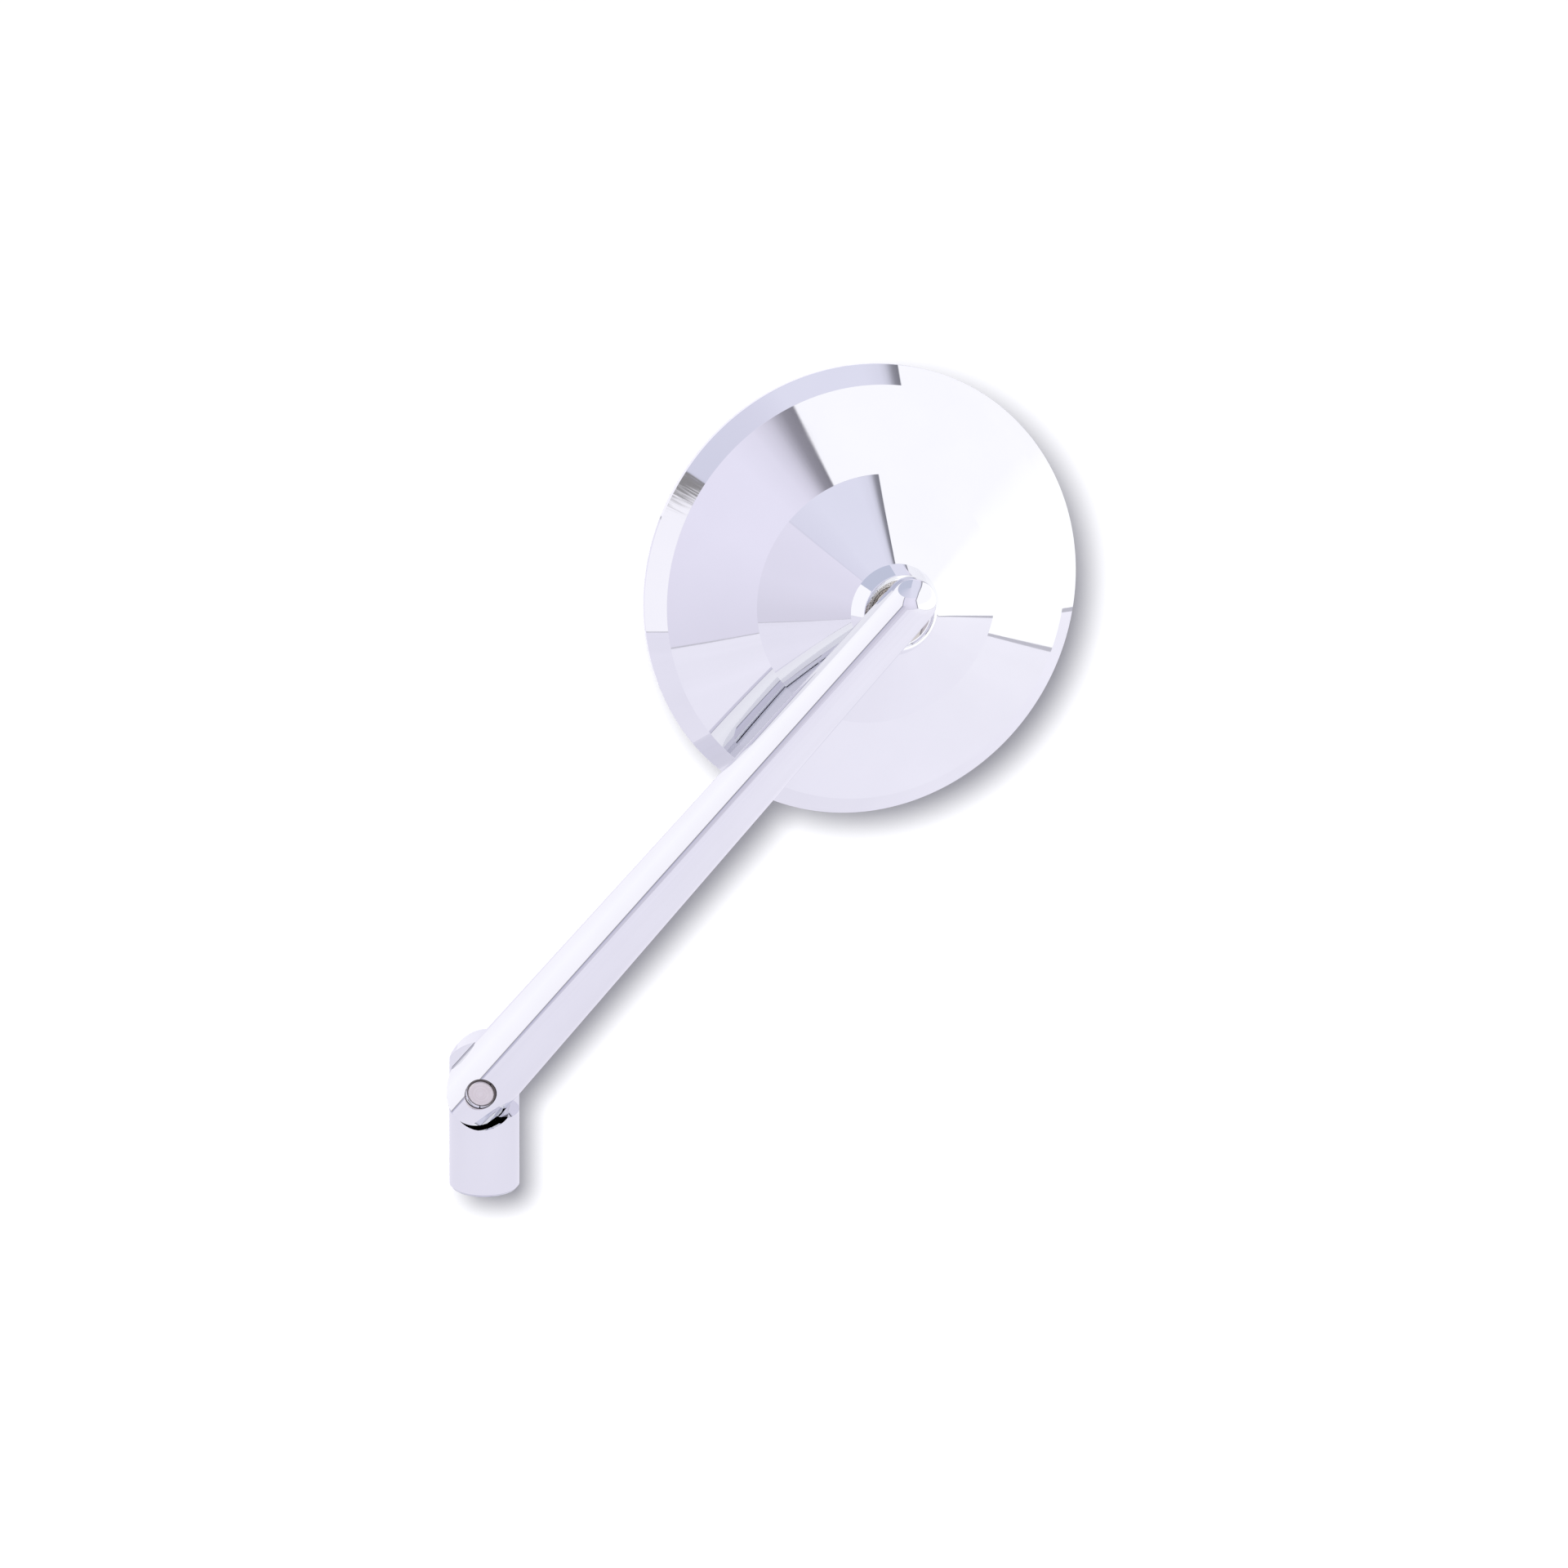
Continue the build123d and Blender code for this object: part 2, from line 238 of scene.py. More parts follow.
def turned(name: str, outline: Sequence[Pair], closed: bool, steps: int) -> Object:
    """Spins an outline about Z.

    Args:
        name: Name of the piece.
        outline: Points as (reach, height).
        closed: Whether the outline's last point joins its first.
        steps: How many steps the spin has.

    Returns:
        The turned piece, with merged seams and outward faces.
    """
    piece = wire(name, [*outline, outline[0]] if closed else outline)
    bpy.ops.mesh.spin(steps=steps, angle=tau, center=(0, 0, 0), axis=(0, 0, 1))
    close_mesh()
    return piece


def rod(name: str, radius: float, start: float, end: float, mouth: Optional[float] = None) -> Object:
    """Turns a cylinder about the Y axis, or a cone with a wider mouth, as a cutting tool.

    Args:
        name: Name of the tool.
        radius: Its radius.
        start: Where it starts along Y.
        end: Where it ends.
        mouth: Its radius at the start, where that differs.

    Returns:
        The tool.
    """
    outline = [(0.0, start), (mouth or radius, start), (radius, end), (0.0, end)]
    piece = turned(name, outline, False, SMALL_STEPS)
    place(piece, Z_TO_Y)
    return piece


def block(name: str, low: Sequence[float], high: Sequence[float]) -> Object:
    """Makes a box between two corners, as a cutting tool.

    Args:
        name: Name of the tool.
        low: Its lowest corner.
        high: Its highest corner.

    Returns:
        The tool.
    """
    clear_selection()
    bpy.ops.mesh.primitive_cube_add(size=1.0)
    piece = bpy.context.object
    piece.name = name
    middle = [(first + last) / 2 for first, last in zip(low, high)]
    spans = [last - first for first, last in zip(low, high)]
    place(piece, Matrix.LocRotScale(Vector(middle), None, Vector(spans)))
    return piece


def place(piece: Object, frame: Matrix) -> None:
    """Moves a piece into a frame and applies that to its mesh.

    Args:
        piece: The piece.
        frame: Frame that it moves into.
    """
    pick(piece)
    piece.matrix_world = frame
    bpy.context.view_layer.update()
    bpy.ops.object.transform_apply(location=True, rotation=True, scale=True)


def finish_with(piece: Object, kind: str, **settings: Any) -> None:
    """Adds one modifier to a piece and applies it.

    Args:
        piece: The piece.
        kind: Kind of the modifier.
        **settings: The modifier's settings.
    """
    pick(piece)
    modifier = piece.modifiers.new(kind.title(), kind)
    for key, value in settings.items():
        setattr(modifier, key, value)
    bpy.ops.object.modifier_apply(modifier=modifier.name)


def cut(piece: Object, *tools: Object) -> None:
    """Takes each tool's shape out of a piece, and removes the tool.

    Args:
        piece: The piece.
        *tools: The cutting tools, in order.
    """
    for tool in tools:
        finish_with(piece, "BOOLEAN", operation="DIFFERENCE", solver="EXACT", object=tool)
        bpy.data.objects.remove(tool)


def shade(piece: Object, crisp: Crisp) -> None:
    """Smooths a piece's shading, apart from its crisp edges."""
    pick(piece)
    bpy.ops.object.shade_smooth_by_angle(angle=radians(crisp.value))


@dataclass(frozen=True)
class RoundFace:
    """A round face of a cut piece: its axis in the piece's frame, its radius and its taper.

    The radius grows by the taper for each unit along the axis.
    """

    axis: Axis
    radius: float
    taper: float = 0.0

    def normal(self, point: Vector, near: float = 0.003 * MM) -> Optional[Vector]:
        """Gives the face's normal at a point.

        Args:
            point: The point, in the piece's frame.
            near: How far off the face the point may be.

        Returns:
            The normal, or nothing where the point isn't on the face.
        """
        along = point.dot(self.axis.value)
        side = point - along * self.axis.value
        if abs(side.length - self.radius - self.taper * along) > near:
            return None
        return (side.normalized() - self.taper * self.axis.value).normalized()


def true_normals(piece: Object, frame: Matrix, faces: Sequence[RoundFace], alike: float = 0.85) -> None:
    """Gives a cut piece the exact normals of its round faces, so that mirrored lines stay straight.

    Args:
        piece: The piece, already in its place.
        frame: Frame that the round faces are written in.
        faces: The round faces, the first that fits counts.
        alike: How well a polygon has to face along an exact normal to take it.
    """
    mesh = piece.data
    inward = frame.inverted()
    outward = frame.to_3x3()
    points = [inward @ vertex.co for vertex in mesh.vertices]
    known = [[outward @ way for face in faces if (way := face.normal(point))] for point in points]
    normals = [corner.vector.copy() for corner in mesh.corner_normals]
    for polygon in mesh.polygons:
        for corner in polygon.loop_indices:
            for way in known[mesh.loops[corner].vertex_index]:
                lean = way.dot(polygon.normal)
                if abs(lean) > alike:
                    normals[corner] = way if lean > 0 else -way
                    break
    mesh.normals_split_custom_set(normals)


def compass_direction(turn: float, rise: float) -> Vector:
    """Direction at a compass angle from -Y towards +X and an angle above the floor, in degrees."""
    turn, rise = radians(turn), radians(rise)
    return Vector((sin(turn) * cos(rise), -cos(turn) * cos(rise), sin(rise)))


def basis(origin: Vector, x_axis: Vector, z_axis: Vector) -> Matrix:
    """Builds a frame from its origin and two of its axes.

    Args:
        origin: Origin of the frame.
        x_axis: Direction near its X axis.
        z_axis: Direction of its Z axis.

    Returns:
        The frame.
    """
    z_unit = z_axis.normalized()
    x_unit = (x_axis - z_unit * x_axis.dot(z_unit)).normalized()
    y_unit = z_unit.cross(x_unit)
    frame = Matrix((x_unit, y_unit, z_unit)).transposed().to_4x4()
    frame.translation = origin
    return frame


@dataclass(frozen=True)
class Layout:
    """Where the sub-assemblies sit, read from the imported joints."""

    pivot: Vector
    ball: Vector
    head_axis: Vector

    @classmethod
    def from_joints(cls, joints: Iterable[dict[str, Any]]) -> "Layout":
        """Reads the knuckle, the ball's centre and the head's axis from the joints.

        Args:
            joints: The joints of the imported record.

        Returns:
            The layout.
        """
        named = {joint["name"]: joint for joint in joints}
        return cls(
            pivot=Vector(named["arm_pivot"]["pos_m"]),
            ball=Vector(named["head_spin"]["pos_m"]),
            head_axis=Vector(named["head_spin"]["axis"]).normalized(),
        )

    @property
    def arm_axis(self) -> Vector:
        """Direction from the knuckle along the arm."""
        reach = self.ball - self.pivot
        return Vector((reach.x, 0.0, reach.z)).normalized()

    @property
    def stud_station(self) -> float:
        """Distance along the arm from the knuckle to the ball stud."""
        return (self.ball - self.pivot).dot(self.arm_axis)

    @property
    def stand_off(self) -> float:
        """Distance along the screw from the arm's axis to the ball's centre."""
        return self.ball.y - self.pivot.y

    @property
    def foot_frame(self) -> Matrix:
        """Frame at the knuckle, upright."""
        return Matrix.Translation(self.pivot)

    @property
    def arm_frame(self) -> Matrix:
        """Frame at the knuckle with its Z axis along the arm and its Y axis along the screw."""
        return basis(self.pivot, Vector((0, 1, 0)).cross(self.arm_axis), self.arm_axis)

    @property
    def screw_frame(self) -> Matrix:
        """Frame at the knuckle with its Z axis along the screw."""
        return self.arm_frame @ Z_TO_Y

    @property
    def stud_frame(self) -> Matrix:
        """Frame at the ball with its Z axis towards the arm."""
        return basis(self.ball, self.arm_axis, Vector((0, -1, 0)))

    def head_frame(self, ball_height: float) -> Matrix:
        """Frame at the head's widest circle, with its Z axis out of the back."""
        level = Vector((-self.head_axis.y, self.head_axis.x, 0.0))
        return basis(self.ball - self.head_axis * ball_height, level, self.head_axis)


class Shader:
    """Small builder of one node tree."""

    def __init__(self, tree: NodeTree) -> None:
        """Empties the tree and keeps it."""
        self.tree = tree
        tree.nodes.clear()

    def node(self, kind: str, **settings: Any) -> Node:
        """Adds a node.

        Args:
            kind: Kind of the node.
            **settings: Its properties.

        Returns:
            The node.
        """
        made = self.tree.nodes.new(kind)
        for key, value in settings.items():
            setattr(made, key, value)
        return made

    def join(self, source: NodeSocket, target: NodeSocket) -> None:
        """Links two sockets."""
        self.tree.links.new(source, target)

    def feed(self, target: NodeSocket, value: Any) -> None:
        """Sets an input to a number or colour, or links it to a socket.

        Args:
            target: The input.
            value: What it gets.
        """
        if isinstance(value, NodeSocket):
            self.join(value, target)
        elif hasattr(target.default_value, "__len__") and len(target.default_value) == 4:
            target.default_value = (*value, 1.0)
        else:
            target.default_value = value

    def split(self, vector: NodeSocket) -> list[NodeSocket]:
        """Adds a Separate XYZ node.

        Args:
            vector: The vector that it takes apart.

        Returns:
            The levels along X, Y and Z.
        """
        made = self.node("ShaderNodeSeparateXYZ")
        self.join(vector, made.inputs[0])
        return list(made.outputs)

    def math(self, operation: str, *values: Any, clamp: bool = False) -> NodeSocket:
        """Adds a Math node.

        Args:
            operation: What it works out.
            *values: Its inputs.
            clamp: Whether the result stays between 0 and 1.

        Returns:
            The result.
        """
        made = self.node("ShaderNodeMath", operation=operation, use_clamp=clamp)
        for target, value in zip(made.inputs, values):
            self.feed(target, value)
        return made.outputs[0]

    def blend(self, first: NodeSocket, second: NodeSocket, share: float) -> NodeSocket:
        """Adds up two levels, the first by its share and the second by the rest."""
        parts = [self.math("MULTIPLY", first, share), self.math("MULTIPLY", second, 1.0 - share)]
        return self.math("ADD", *parts)

    def ramp(self, source: NodeSocket, stops: Sequence[tuple[float, Colour]]) -> NodeSocket:
        """Adds a Color Ramp.

        Args:
            source: Level that it reads.
            stops: Its stops as (position, colour).

        Returns:
            The colour.
        """
        made = self.node("ShaderNodeValToRGB")
        band = made.color_ramp
        while len(band.elements) < len(stops):
            band.elements.new(1.0)
        for element, (position, colour) in zip(band.elements, stops):
            element.position = position
            element.color = (*colour, 1.0)
        self.join(source, made.inputs["Fac"])
        return made.outputs["Color"]

    def span(
        self, source: NodeSocket, between: Pair, to_low: float = 0.0, to_high: float = 1.0
    ) -> NodeSocket:
        """Adds a Map Range node that keeps its result inside its range.

        Args:
            source: Level that it reads.
            between: The levels that give the first and the last result.
            to_low: First result.
            to_high: Last result.

        Returns:
            The result.
        """
        made = self.node("ShaderNodeMapRange", clamp=True)
        for target, value in zip(made.inputs, (source, *between, to_low, to_high)):
            self.feed(target, value)
        return made.outputs["Result"]

    def mix(self, factor: Any, first: Any, second: Any, way: str = "MIX") -> NodeSocket:
        """Adds a colour Mix node.

        Args:
            factor: Share of the second colour.
            first: First colour.
            second: Second colour.
            way: How they mix.

        Returns:
            The mixed colour.
        """
        made = self.node("ShaderNodeMix", data_type="RGBA", blend_type=way)
        colours = [socket for socket in made.inputs if socket.type == "RGBA"]
        for target, value in zip((made.inputs[0], *colours), (factor, first, second)):
            self.feed(target, value)
        return next(socket for socket in made.outputs if socket.type == "RGBA")

    def dim(self, colour: NodeSocket, level: NodeSocket) -> NodeSocket:
        """Multiplies a colour by a level."""
        return self.mix(1.0, colour, level, "MULTIPLY")

    def noise(self, where: NodeSocket, scale: float, detail: float = 2.0) -> NodeSocket:
        """Adds a Noise Texture.

        Args:
            where: Coordinates that it reads.
            scale: Its scale.
            detail: Its layers of detail.

        Returns:
            Its level.
        """
        made = self.node("ShaderNodeTexNoise")
        for name, value in (("Vector", where), ("Scale", scale), ("Detail", detail)):
            self.feed(made.inputs[name], value)
        return made.outputs["Fac"]

    def bump(self, height: NodeSocket, strength: float, distance: float) -> NodeSocket:
        """Adds a Bump node.

        Args:
            height: Level that it raises.
            strength: Its strength.
            distance: Depth of the relief.

        Returns:
            Its normal.
        """
        made = self.node("ShaderNodeBump")
        for name, value in (("Height", height), ("Strength", strength), ("Distance", distance)):
            self.feed(made.inputs[name], value)
        return made.outputs["Normal"]


class Surface:
    """A new material with its node tree and the inputs of its Principled shader at hand."""

    def __init__(self, name: str) -> None:
        """Starts the material, with its shader joined to the output.

        Args:
            name: What the finish is for.
        """
        self.material = bpy.data.materials.new(f"finish_{name}")
        self.material.use_nodes = True
        self.shader = Shader(self.material.node_tree)
        principled = self.shader.node("ShaderNodeBsdfPrincipled")
        output = self.shader.node("ShaderNodeOutputMaterial")
        self.shader.join(principled.outputs["BSDF"], output.inputs["Surface"])
        self.inputs = principled.inputs

    def wear(self, **looks: Any) -> Material:
        """Feeds the shader's inputs.

        Args:
            **looks: Numbers or sockets by the input's name, with an underscore for each space.

        Returns:
            The finished material.
        """
        for name, value in looks.items():
            self.shader.feed(self.inputs[name.replace("_", " ")], value)
        return self.material


@dataclass(frozen=True)
class Grain:
    """Frame that a turned or drawn surface's fine lines follow."""

    frame: Matrix

    def local(self, shader: Shader) -> NodeSocket:
        """Moves Object coordinates into the frame.

        Args:
            shader: Tree that gets the nodes.

        Returns:
            The coordinates.
        """
        where = shader.node("ShaderNodeTexCoord")
        turn = shader.node("ShaderNodeMapping", vector_type="TEXTURE")
        turn.inputs["Location"].default_value = self.frame.translation
        turn.inputs["Rotation"].default_value = self.frame.to_euler()
        shader.join(where.outputs["Object"], turn.inputs["Vector"])
        return turn.outputs["Vector"]

    def rings(self, shader: Shader) -> NodeSocket:
        """Makes coordinates that are the same all round the frame's Z axis.

        Args:
            shader: Tree that gets the nodes.

        Returns:
            The coordinates: reach, nothing, height.
        """
        x, y, z = shader.split(self.local(shader))
        squares = [shader.math("POWER", side, 2.0) for side in (x, y)]
        joined = shader.node("ShaderNodeCombineXYZ")
        shader.join(shader.math("SQRT", shader.math("ADD", *squares)), joined.inputs["X"])
        shader.join(z, joined.inputs["Z"])
        return joined.outputs[0]


@dataclass(frozen=True)
class PaintedBoreShade:
    """Painted shade round an axis: a dark, dull colour in the hollow of the arm's screw window, where
    shade falls.
    """

    grain: Grain
    radius: float = 3.3 * MM
    fade: float = 0.25 * MM
    # dark colour and roughness painted into the hollow as shade
    colour: Colour = (0.15, 0.135, 0.13)
    rough: float = 0.4

    def unshaded_level(self, shader: Shader) -> NodeSocket:
        """Mask of the painted shade: nothing in the hole, where the shade is painted, one outside it.
        """
        reach = shader.split(self.grain.rings(shader))[0]
        return shader.span(reach, (self.radius, self.radius + self.fade))


@dataclass(frozen=True)
class ChromePlate:
    """Bright chrome over polished alloy: a mirror with faint polishing lines and haze."""

    # optional painted shade in the hollow round an axis
    bore: Optional[PaintedBoreShade] = None
    tint: Colour = (0.84, 0.845, 0.868)
    haze_tint: Colour = (0.825, 0.83, 0.855)
    smooth: float = 0.012
    hazy: float = 0.045
    line_scale: float = 5200.0
    line_strength: float = 0.02
    line_depth: float = 0.002 * MM
    haze_scale: float = 70.0
    haze_share: float = 0.7
    haze_levels: Pair = (0.35, 0.75)
    spot_scale: float = 2100.0

    def material(self, slot: Slot, grain: Grain) -> Material:
        """Builds the finish for one slot.

        Args:
            slot: Slot that the finish is for.
            grain: Frame that the polishing lines follow.

        Returns:
            The finished material.
        """
        surface = Surface(slot.value)
        shader = surface.shader
        local = grain.local(shader)
        haze = shader.noise(local, self.haze_scale, detail=5.0)
        spots = shader.noise(local, self.spot_scale)
        lines = shader.noise(grain.rings(shader), self.line_scale, detail=3.0)
        colour = shader.ramp(haze, list(zip(self.haze_levels, (self.tint, self.haze_tint))))
        level = shader.blend(haze, spots, self.haze_share)
        rough = shader.span(level, self.haze_levels, self.smooth, self.hazy)
        if self.bore:
            # painted shade: a dark, duller colour in the screw window's hollow
            unshaded_level = self.bore.unshaded_level(shader)
            colour = shader.mix(unshaded_level, self.bore.colour, colour)
            shade_rough = shader.span(unshaded_level, (0.0, 1.0), self.bore.rough, 0.0)
            rough = shader.math("MAXIMUM", rough, shade_rough)
        normal = shader.bump(lines, self.line_strength, self.line_depth)
        return surface.wear(Base_Color=colour, Roughness=rough, Normal=normal, Metallic=1.0)


@dataclass(frozen=True)
class TurnedMetal:
    """Bare turned metal with rings from the tool, a satin sheen and darker grooves."""

    light: Colour
    dark: Colour
    smooth: float
    rough: float
    ring_scale: float = 3000.0
    ring_strength: float = 0.35
    ring_depth: float = 0.006 * MM
    ring_share: float = 0.6
    stain_scale: float = 420.0
    colour_levels: Pair = (0.32, 0.68)
    sheen_levels: Pair = (0.3, 0.7)

    def material(self, slot: Slot, grain: Grain) -> Material:
        """Builds the finish for one slot.

        Args:
            slot: Slot that the finish is for.
            grain: Frame that the rings turn about.

        Returns:
            The finished material.
        """
        surface = Surface(slot.value)
        shader = surface.shader
        rings = shader.noise(grain.rings(shader), self.ring_scale, detail=4.0)
        stains = shader.noise(grain.local(shader), self.stain_scale, detail=4.0)
        level = shader.blend(rings, stains, self.ring_share)
        colour = shader.ramp(level, list(zip(self.colour_levels, (self.dark, self.light))))
        rough = shader.span(level, self.sheen_levels, self.rough, self.smooth)
        normal = shader.bump(rings, self.ring_strength, self.ring_depth)
        return surface.wear(Base_Color=colour, Roughness=rough, Normal=normal, Metallic=1.0)


@dataclass(frozen=True)
class MouldedPlastic:
    """Moulded nylon or foam with a fine grain and paler rubbed spots."""

    deep: Colour
    rubbed: Colour
    rough: float
    grain_scale: float
    grain_strength: float = 0.3
    grain_depth: float = 0.02 * MM
    grain_levels: Pair = (0.3, 0.7)
    rough_spread: float = 0.1
    spot_grains: float = 12.0
    rub_levels: Pair = (0.4, 0.75)

    def material(self, slot: Slot, grain: Grain) -> Material:
        """Builds the finish for one slot.

        Args:
            slot: Slot that the finish is for.
            grain: Frame that the pattern sits in.

        Returns:
            The finished material.
        """
        surface = Surface(slot.value)
        shader = surface.shader
        local = grain.local(shader)
        fine = shader.noise(local, self.grain_scale, detail=3.0)
        broad = shader.noise(local, self.grain_scale / self.spot_grains)
        colour = shader.ramp(broad, list(zip(self.rub_levels, (self.deep, self.rubbed))))
        spread = (self.rough - self.rough_spread, self.rough + self.rough_spread)
        rough = shader.span(fine, self.grain_levels, *spread)
        normal = shader.bump(fine, self.grain_strength, self.grain_depth)
        return surface.wear(Base_Color=colour, Roughness=rough, Normal=normal)


@dataclass(frozen=True)
class SilveredGlass:
    """Back-silvered glass: a cool mirror under a clear coat, with faint dust."""

    silver: Colour = (0.9, 0.92, 0.93)
    dusty: Colour = (0.87, 0.89, 0.9)
    clean: float = 0.006
    smeared: float = 0.03
    coat_rough: float = 0.01
    dust_scale: float = 900.0
    dust_share: float = 0.5
    dust_levels: Pair = (0.5, 0.75)
    wipe_scale: float = 45.0
    wipe_levels: Pair = (0.45, 0.75)

    def material(self, slot: Slot, grain: Grain) -> Material:
        """Builds the finish for one slot.

        Args:
            slot: Slot that the finish is for.
            grain: Frame that the dust sits in.

        Returns:
            The finished material.
        """
        surface = Surface(slot.value)
        shader = surface.shader
        local = grain.local(shader)
        dust = shader.noise(local, self.dust_scale, detail=3.0)
        wipes = shader.noise(local, self.wipe_scale, detail=3.0)
        level = shader.blend(dust, wipes, self.dust_share)
        colour = shader.ramp(level, list(zip(self.dust_levels, (self.silver, self.dusty))))
        rough = shader.span(level, self.wipe_levels, self.clean, self.smeared)
        surface.wear(Coat_Weight=1.0, Coat_Roughness=self.coat_rough)
        return surface.wear(Base_Color=colour, Roughness=rough, Metallic=1.0)


def dress(piece: Object, finish: Material) -> None:
    """Gives a piece one finish all over."""
    piece.data.materials.clear()
    piece.data.materials.append(finish)


def settle(piece: Object, body: Body, slot: Slot, finish: Material, *nodes: str) -> None:
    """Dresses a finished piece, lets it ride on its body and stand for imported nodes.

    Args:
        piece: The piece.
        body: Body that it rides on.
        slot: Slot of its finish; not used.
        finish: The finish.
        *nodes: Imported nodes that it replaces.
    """
    dress(piece, finish)
    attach(piece, body.value)
    if nodes:
        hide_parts(*nodes)
    log.info("%s: %d faces on %s", piece.name, len(piece.data.polygons), body.value)


@dataclass
class Head:
    """Turned housing with its stepped-cone back, and the bent glass in its rim."""

    layout: Layout
    radius: float = 52.5 * MM
    band_width: float = 4.1 * MM
    band_height: float = 3.7 * MM
    crease_radius: float = 29.1 * MM
    crease_inset: float = 0.3 * MM
    outer_rise: float = 6.9 * MM
    inner_rise: float = 12.0 * MM
    collar_flare: float = 1.8 * MM
    collar_rise: float = 3.8 * MM
    collar_wall: float = 0.8 * MM
    mouth_radius: float = 8.1 * MM
    mouth_step: float = 0.8 * MM
    step_radius: float = 7.63 * MM
    socket_radius: float = 7.25 * MM
    lip_angle: float = 60.06
    ball_inset: float = 7.4 * MM
    shell_wall: float = 3.0 * MM
    boss_drop: float = 3.6 * MM
    rim_depth: float = 2.5 * MM
    rim_draft: float = 0.6 * MM
    lip_width: float = 2.7 * MM
    ledge_width: float = 3.2 * MM
    boss_radius: float = 10.85 * MM
    plug_radius: float = 8.07 * MM
    glass_recess: float = 0.7 * MM
    glass_thickness: float = 2.4 * MM
    glass_gap: float = 0.25 * MM
    glass_bevel: float = 0.3 * MM
    glass_curvature: float = 1200 * MM
    tape_thickness: float = 0.8 * MM
    cup_floor: float = 1.4 * MM
    spring_height: float = 1.0 * MM
    plug_height: float = 4.4 * MM
    crisp: float = 0.12 * MM
    soft: float = 0.35 * MM

    @property
    def crease_height(self) -> float:
        """Height of the crease between the two cones."""
        return self.band_height + self.outer_rise

    @property
    def collar_height(self) -> float:
        """Height of the collar's rim."""
        return self.crease_height + self.inner_rise + self.collar_rise

    @property
    def ball_height(self) -> float:
        """Height of the ball's centre."""
        return self.collar_height - self.ball_inset

    @property
    def frame(self) -> Matrix:
        """Frame at the widest circle."""
        return self.layout.head_frame(self.ball_height)

    @property
    def recess_radius(self) -> float:
        """Radius of the recess for the glass."""
        return self.radius - self.rim_draft - self.lip_width

    @property
    def ledge_height(self) -> float:
        """Height of the ledge that carries the tape."""
        return self.glass_recess - self.rim_depth + self.glass_thickness + self.tape_thickness

    def back(self) -> list[Corner]:
        """Draws the back, from the rim's front face to the mouth of the socket.

        Returns:
            The outline's corners.
        """
        rim_radius = self.collar_wall + self.mouth_radius
        base = self.crease_height + self.inner_rise
        front = -self.rim_depth
        return [
            Corner(self.recess_radius, front, self.soft),
            Corner(self.radius - self.rim_draft, front, self.soft),
            Corner(self.radius, 0.0, self.crisp),
            Corner(self.radius - self.band_width, self.band_height, self.crisp),
            Corner(self.crease_radius, self.crease_height, 2 * self.crisp),
            Corner(rim_radius + self.collar_flare, base, self.crisp),
            Corner(rim_radius, self.collar_height, self.soft),
            Corner(self.mouth_radius, self.collar_height, self.crisp),
            Corner(self.mouth_radius, self.collar_height - self.mouth_step, self.crisp / 2),
            Corner(self.step_radius, self.collar_height - self.mouth_step, self.crisp / 2),
        ]

    def inside(self) -> list[Corner]:
        """Draws the inside, from the socket's bore to the ledge for the glass.

        Returns:
            The outline's corners.
        """
        cup_bottom = self.ball_height - self.socket_radius - self.cup_floor
        plug_top = cup_bottom - self.spring_height
        boss_bottom = plug_top - self.plug_height
        rise = self.outer_rise / (self.radius - self.band_width - self.crease_radius)
        wall = self.shell_wall * sqrt(1 + rise**2)
        return [
            Corner(self.socket_radius, plug_top),
            Corner(self.plug_radius, plug_top),
            Corner(self.plug_radius, boss_bottom),
            Corner(self.boss_radius, boss_bottom),
            Corner(self.boss_radius, self.crease_height + self.inner_rise - self.boss_drop),
            Corner(self.crease_radius - self.crease_inset, self.crease_height - wall),
            Corner(self.recess_radius - self.ledge_width, self.ledge_height),
            Corner(self.recess_radius, self.ledge_height),
        ]

    def build_housing(self, chrome: Material) -> None:
        """Turns the housing as one closed shell.

        Args:
            chrome: Its finish.
        """
        socket = arc(self.socket_radius, self.ball_height, self.lip_angle, 90.0, count=8)
        outline = rounded(self.back() + socket + self.inside(), closed=True)
        piece = turned("housing_shell", outline, True, FINE_STEPS)
        shade(piece, Crisp.TURNED)
        place(piece, self.frame)
        settle(piece, Body.HEAD, Slot.CHROME_HEAD, chrome, "mirror_housing")

    def glass_face(self, edge_height: float, spans: int) -> list[Corner]:
        """Draws one face of the bent glass, from its middle to its edge.

        Args:
            edge_height: Height of the face's edge.
            spans: How many spans the face has.

        Returns:
            The outline's corners.
        """
        edge = self.recess_radius - self.glass_gap
        sag = sqrt(self.glass_curvature**2 - edge**2)
        reaches = [edge * step / spans for step in range(spans + 1)]
        return [
            Corner(reach, edge_height - sqrt(self.glass_curvature**2 - reach**2) + sag)
            for reach in reaches
        ]

    def build_glass(self, mirror: Material) -> None:
        """Turns the bent glass, with a ground bevel round its front edge.

        Args:
            mirror: Its finish.
        """
        edge_front = self.glass_recess - self.rim_depth
        front = self.glass_face(edge_front, spans=16)
        rear = self.glass_face(edge_front + self.glass_thickness, spans=8)
        last = front.pop()
        front.append(Corner(last.reach - self.glass_bevel, last.height))
        rim = [Corner(last.reach, last.height + self.glass_bevel)]
        outline = rounded(front + rim + rear[::-1], closed=False)
        piece = turned("bent_glass", outline, False, FINE_STEPS)
        shade(piece, Crisp.TURNED)
        place(piece, self.frame)
        settle(piece, Body.HEAD, Slot.MIRROR, mirror, "mirror_glass")


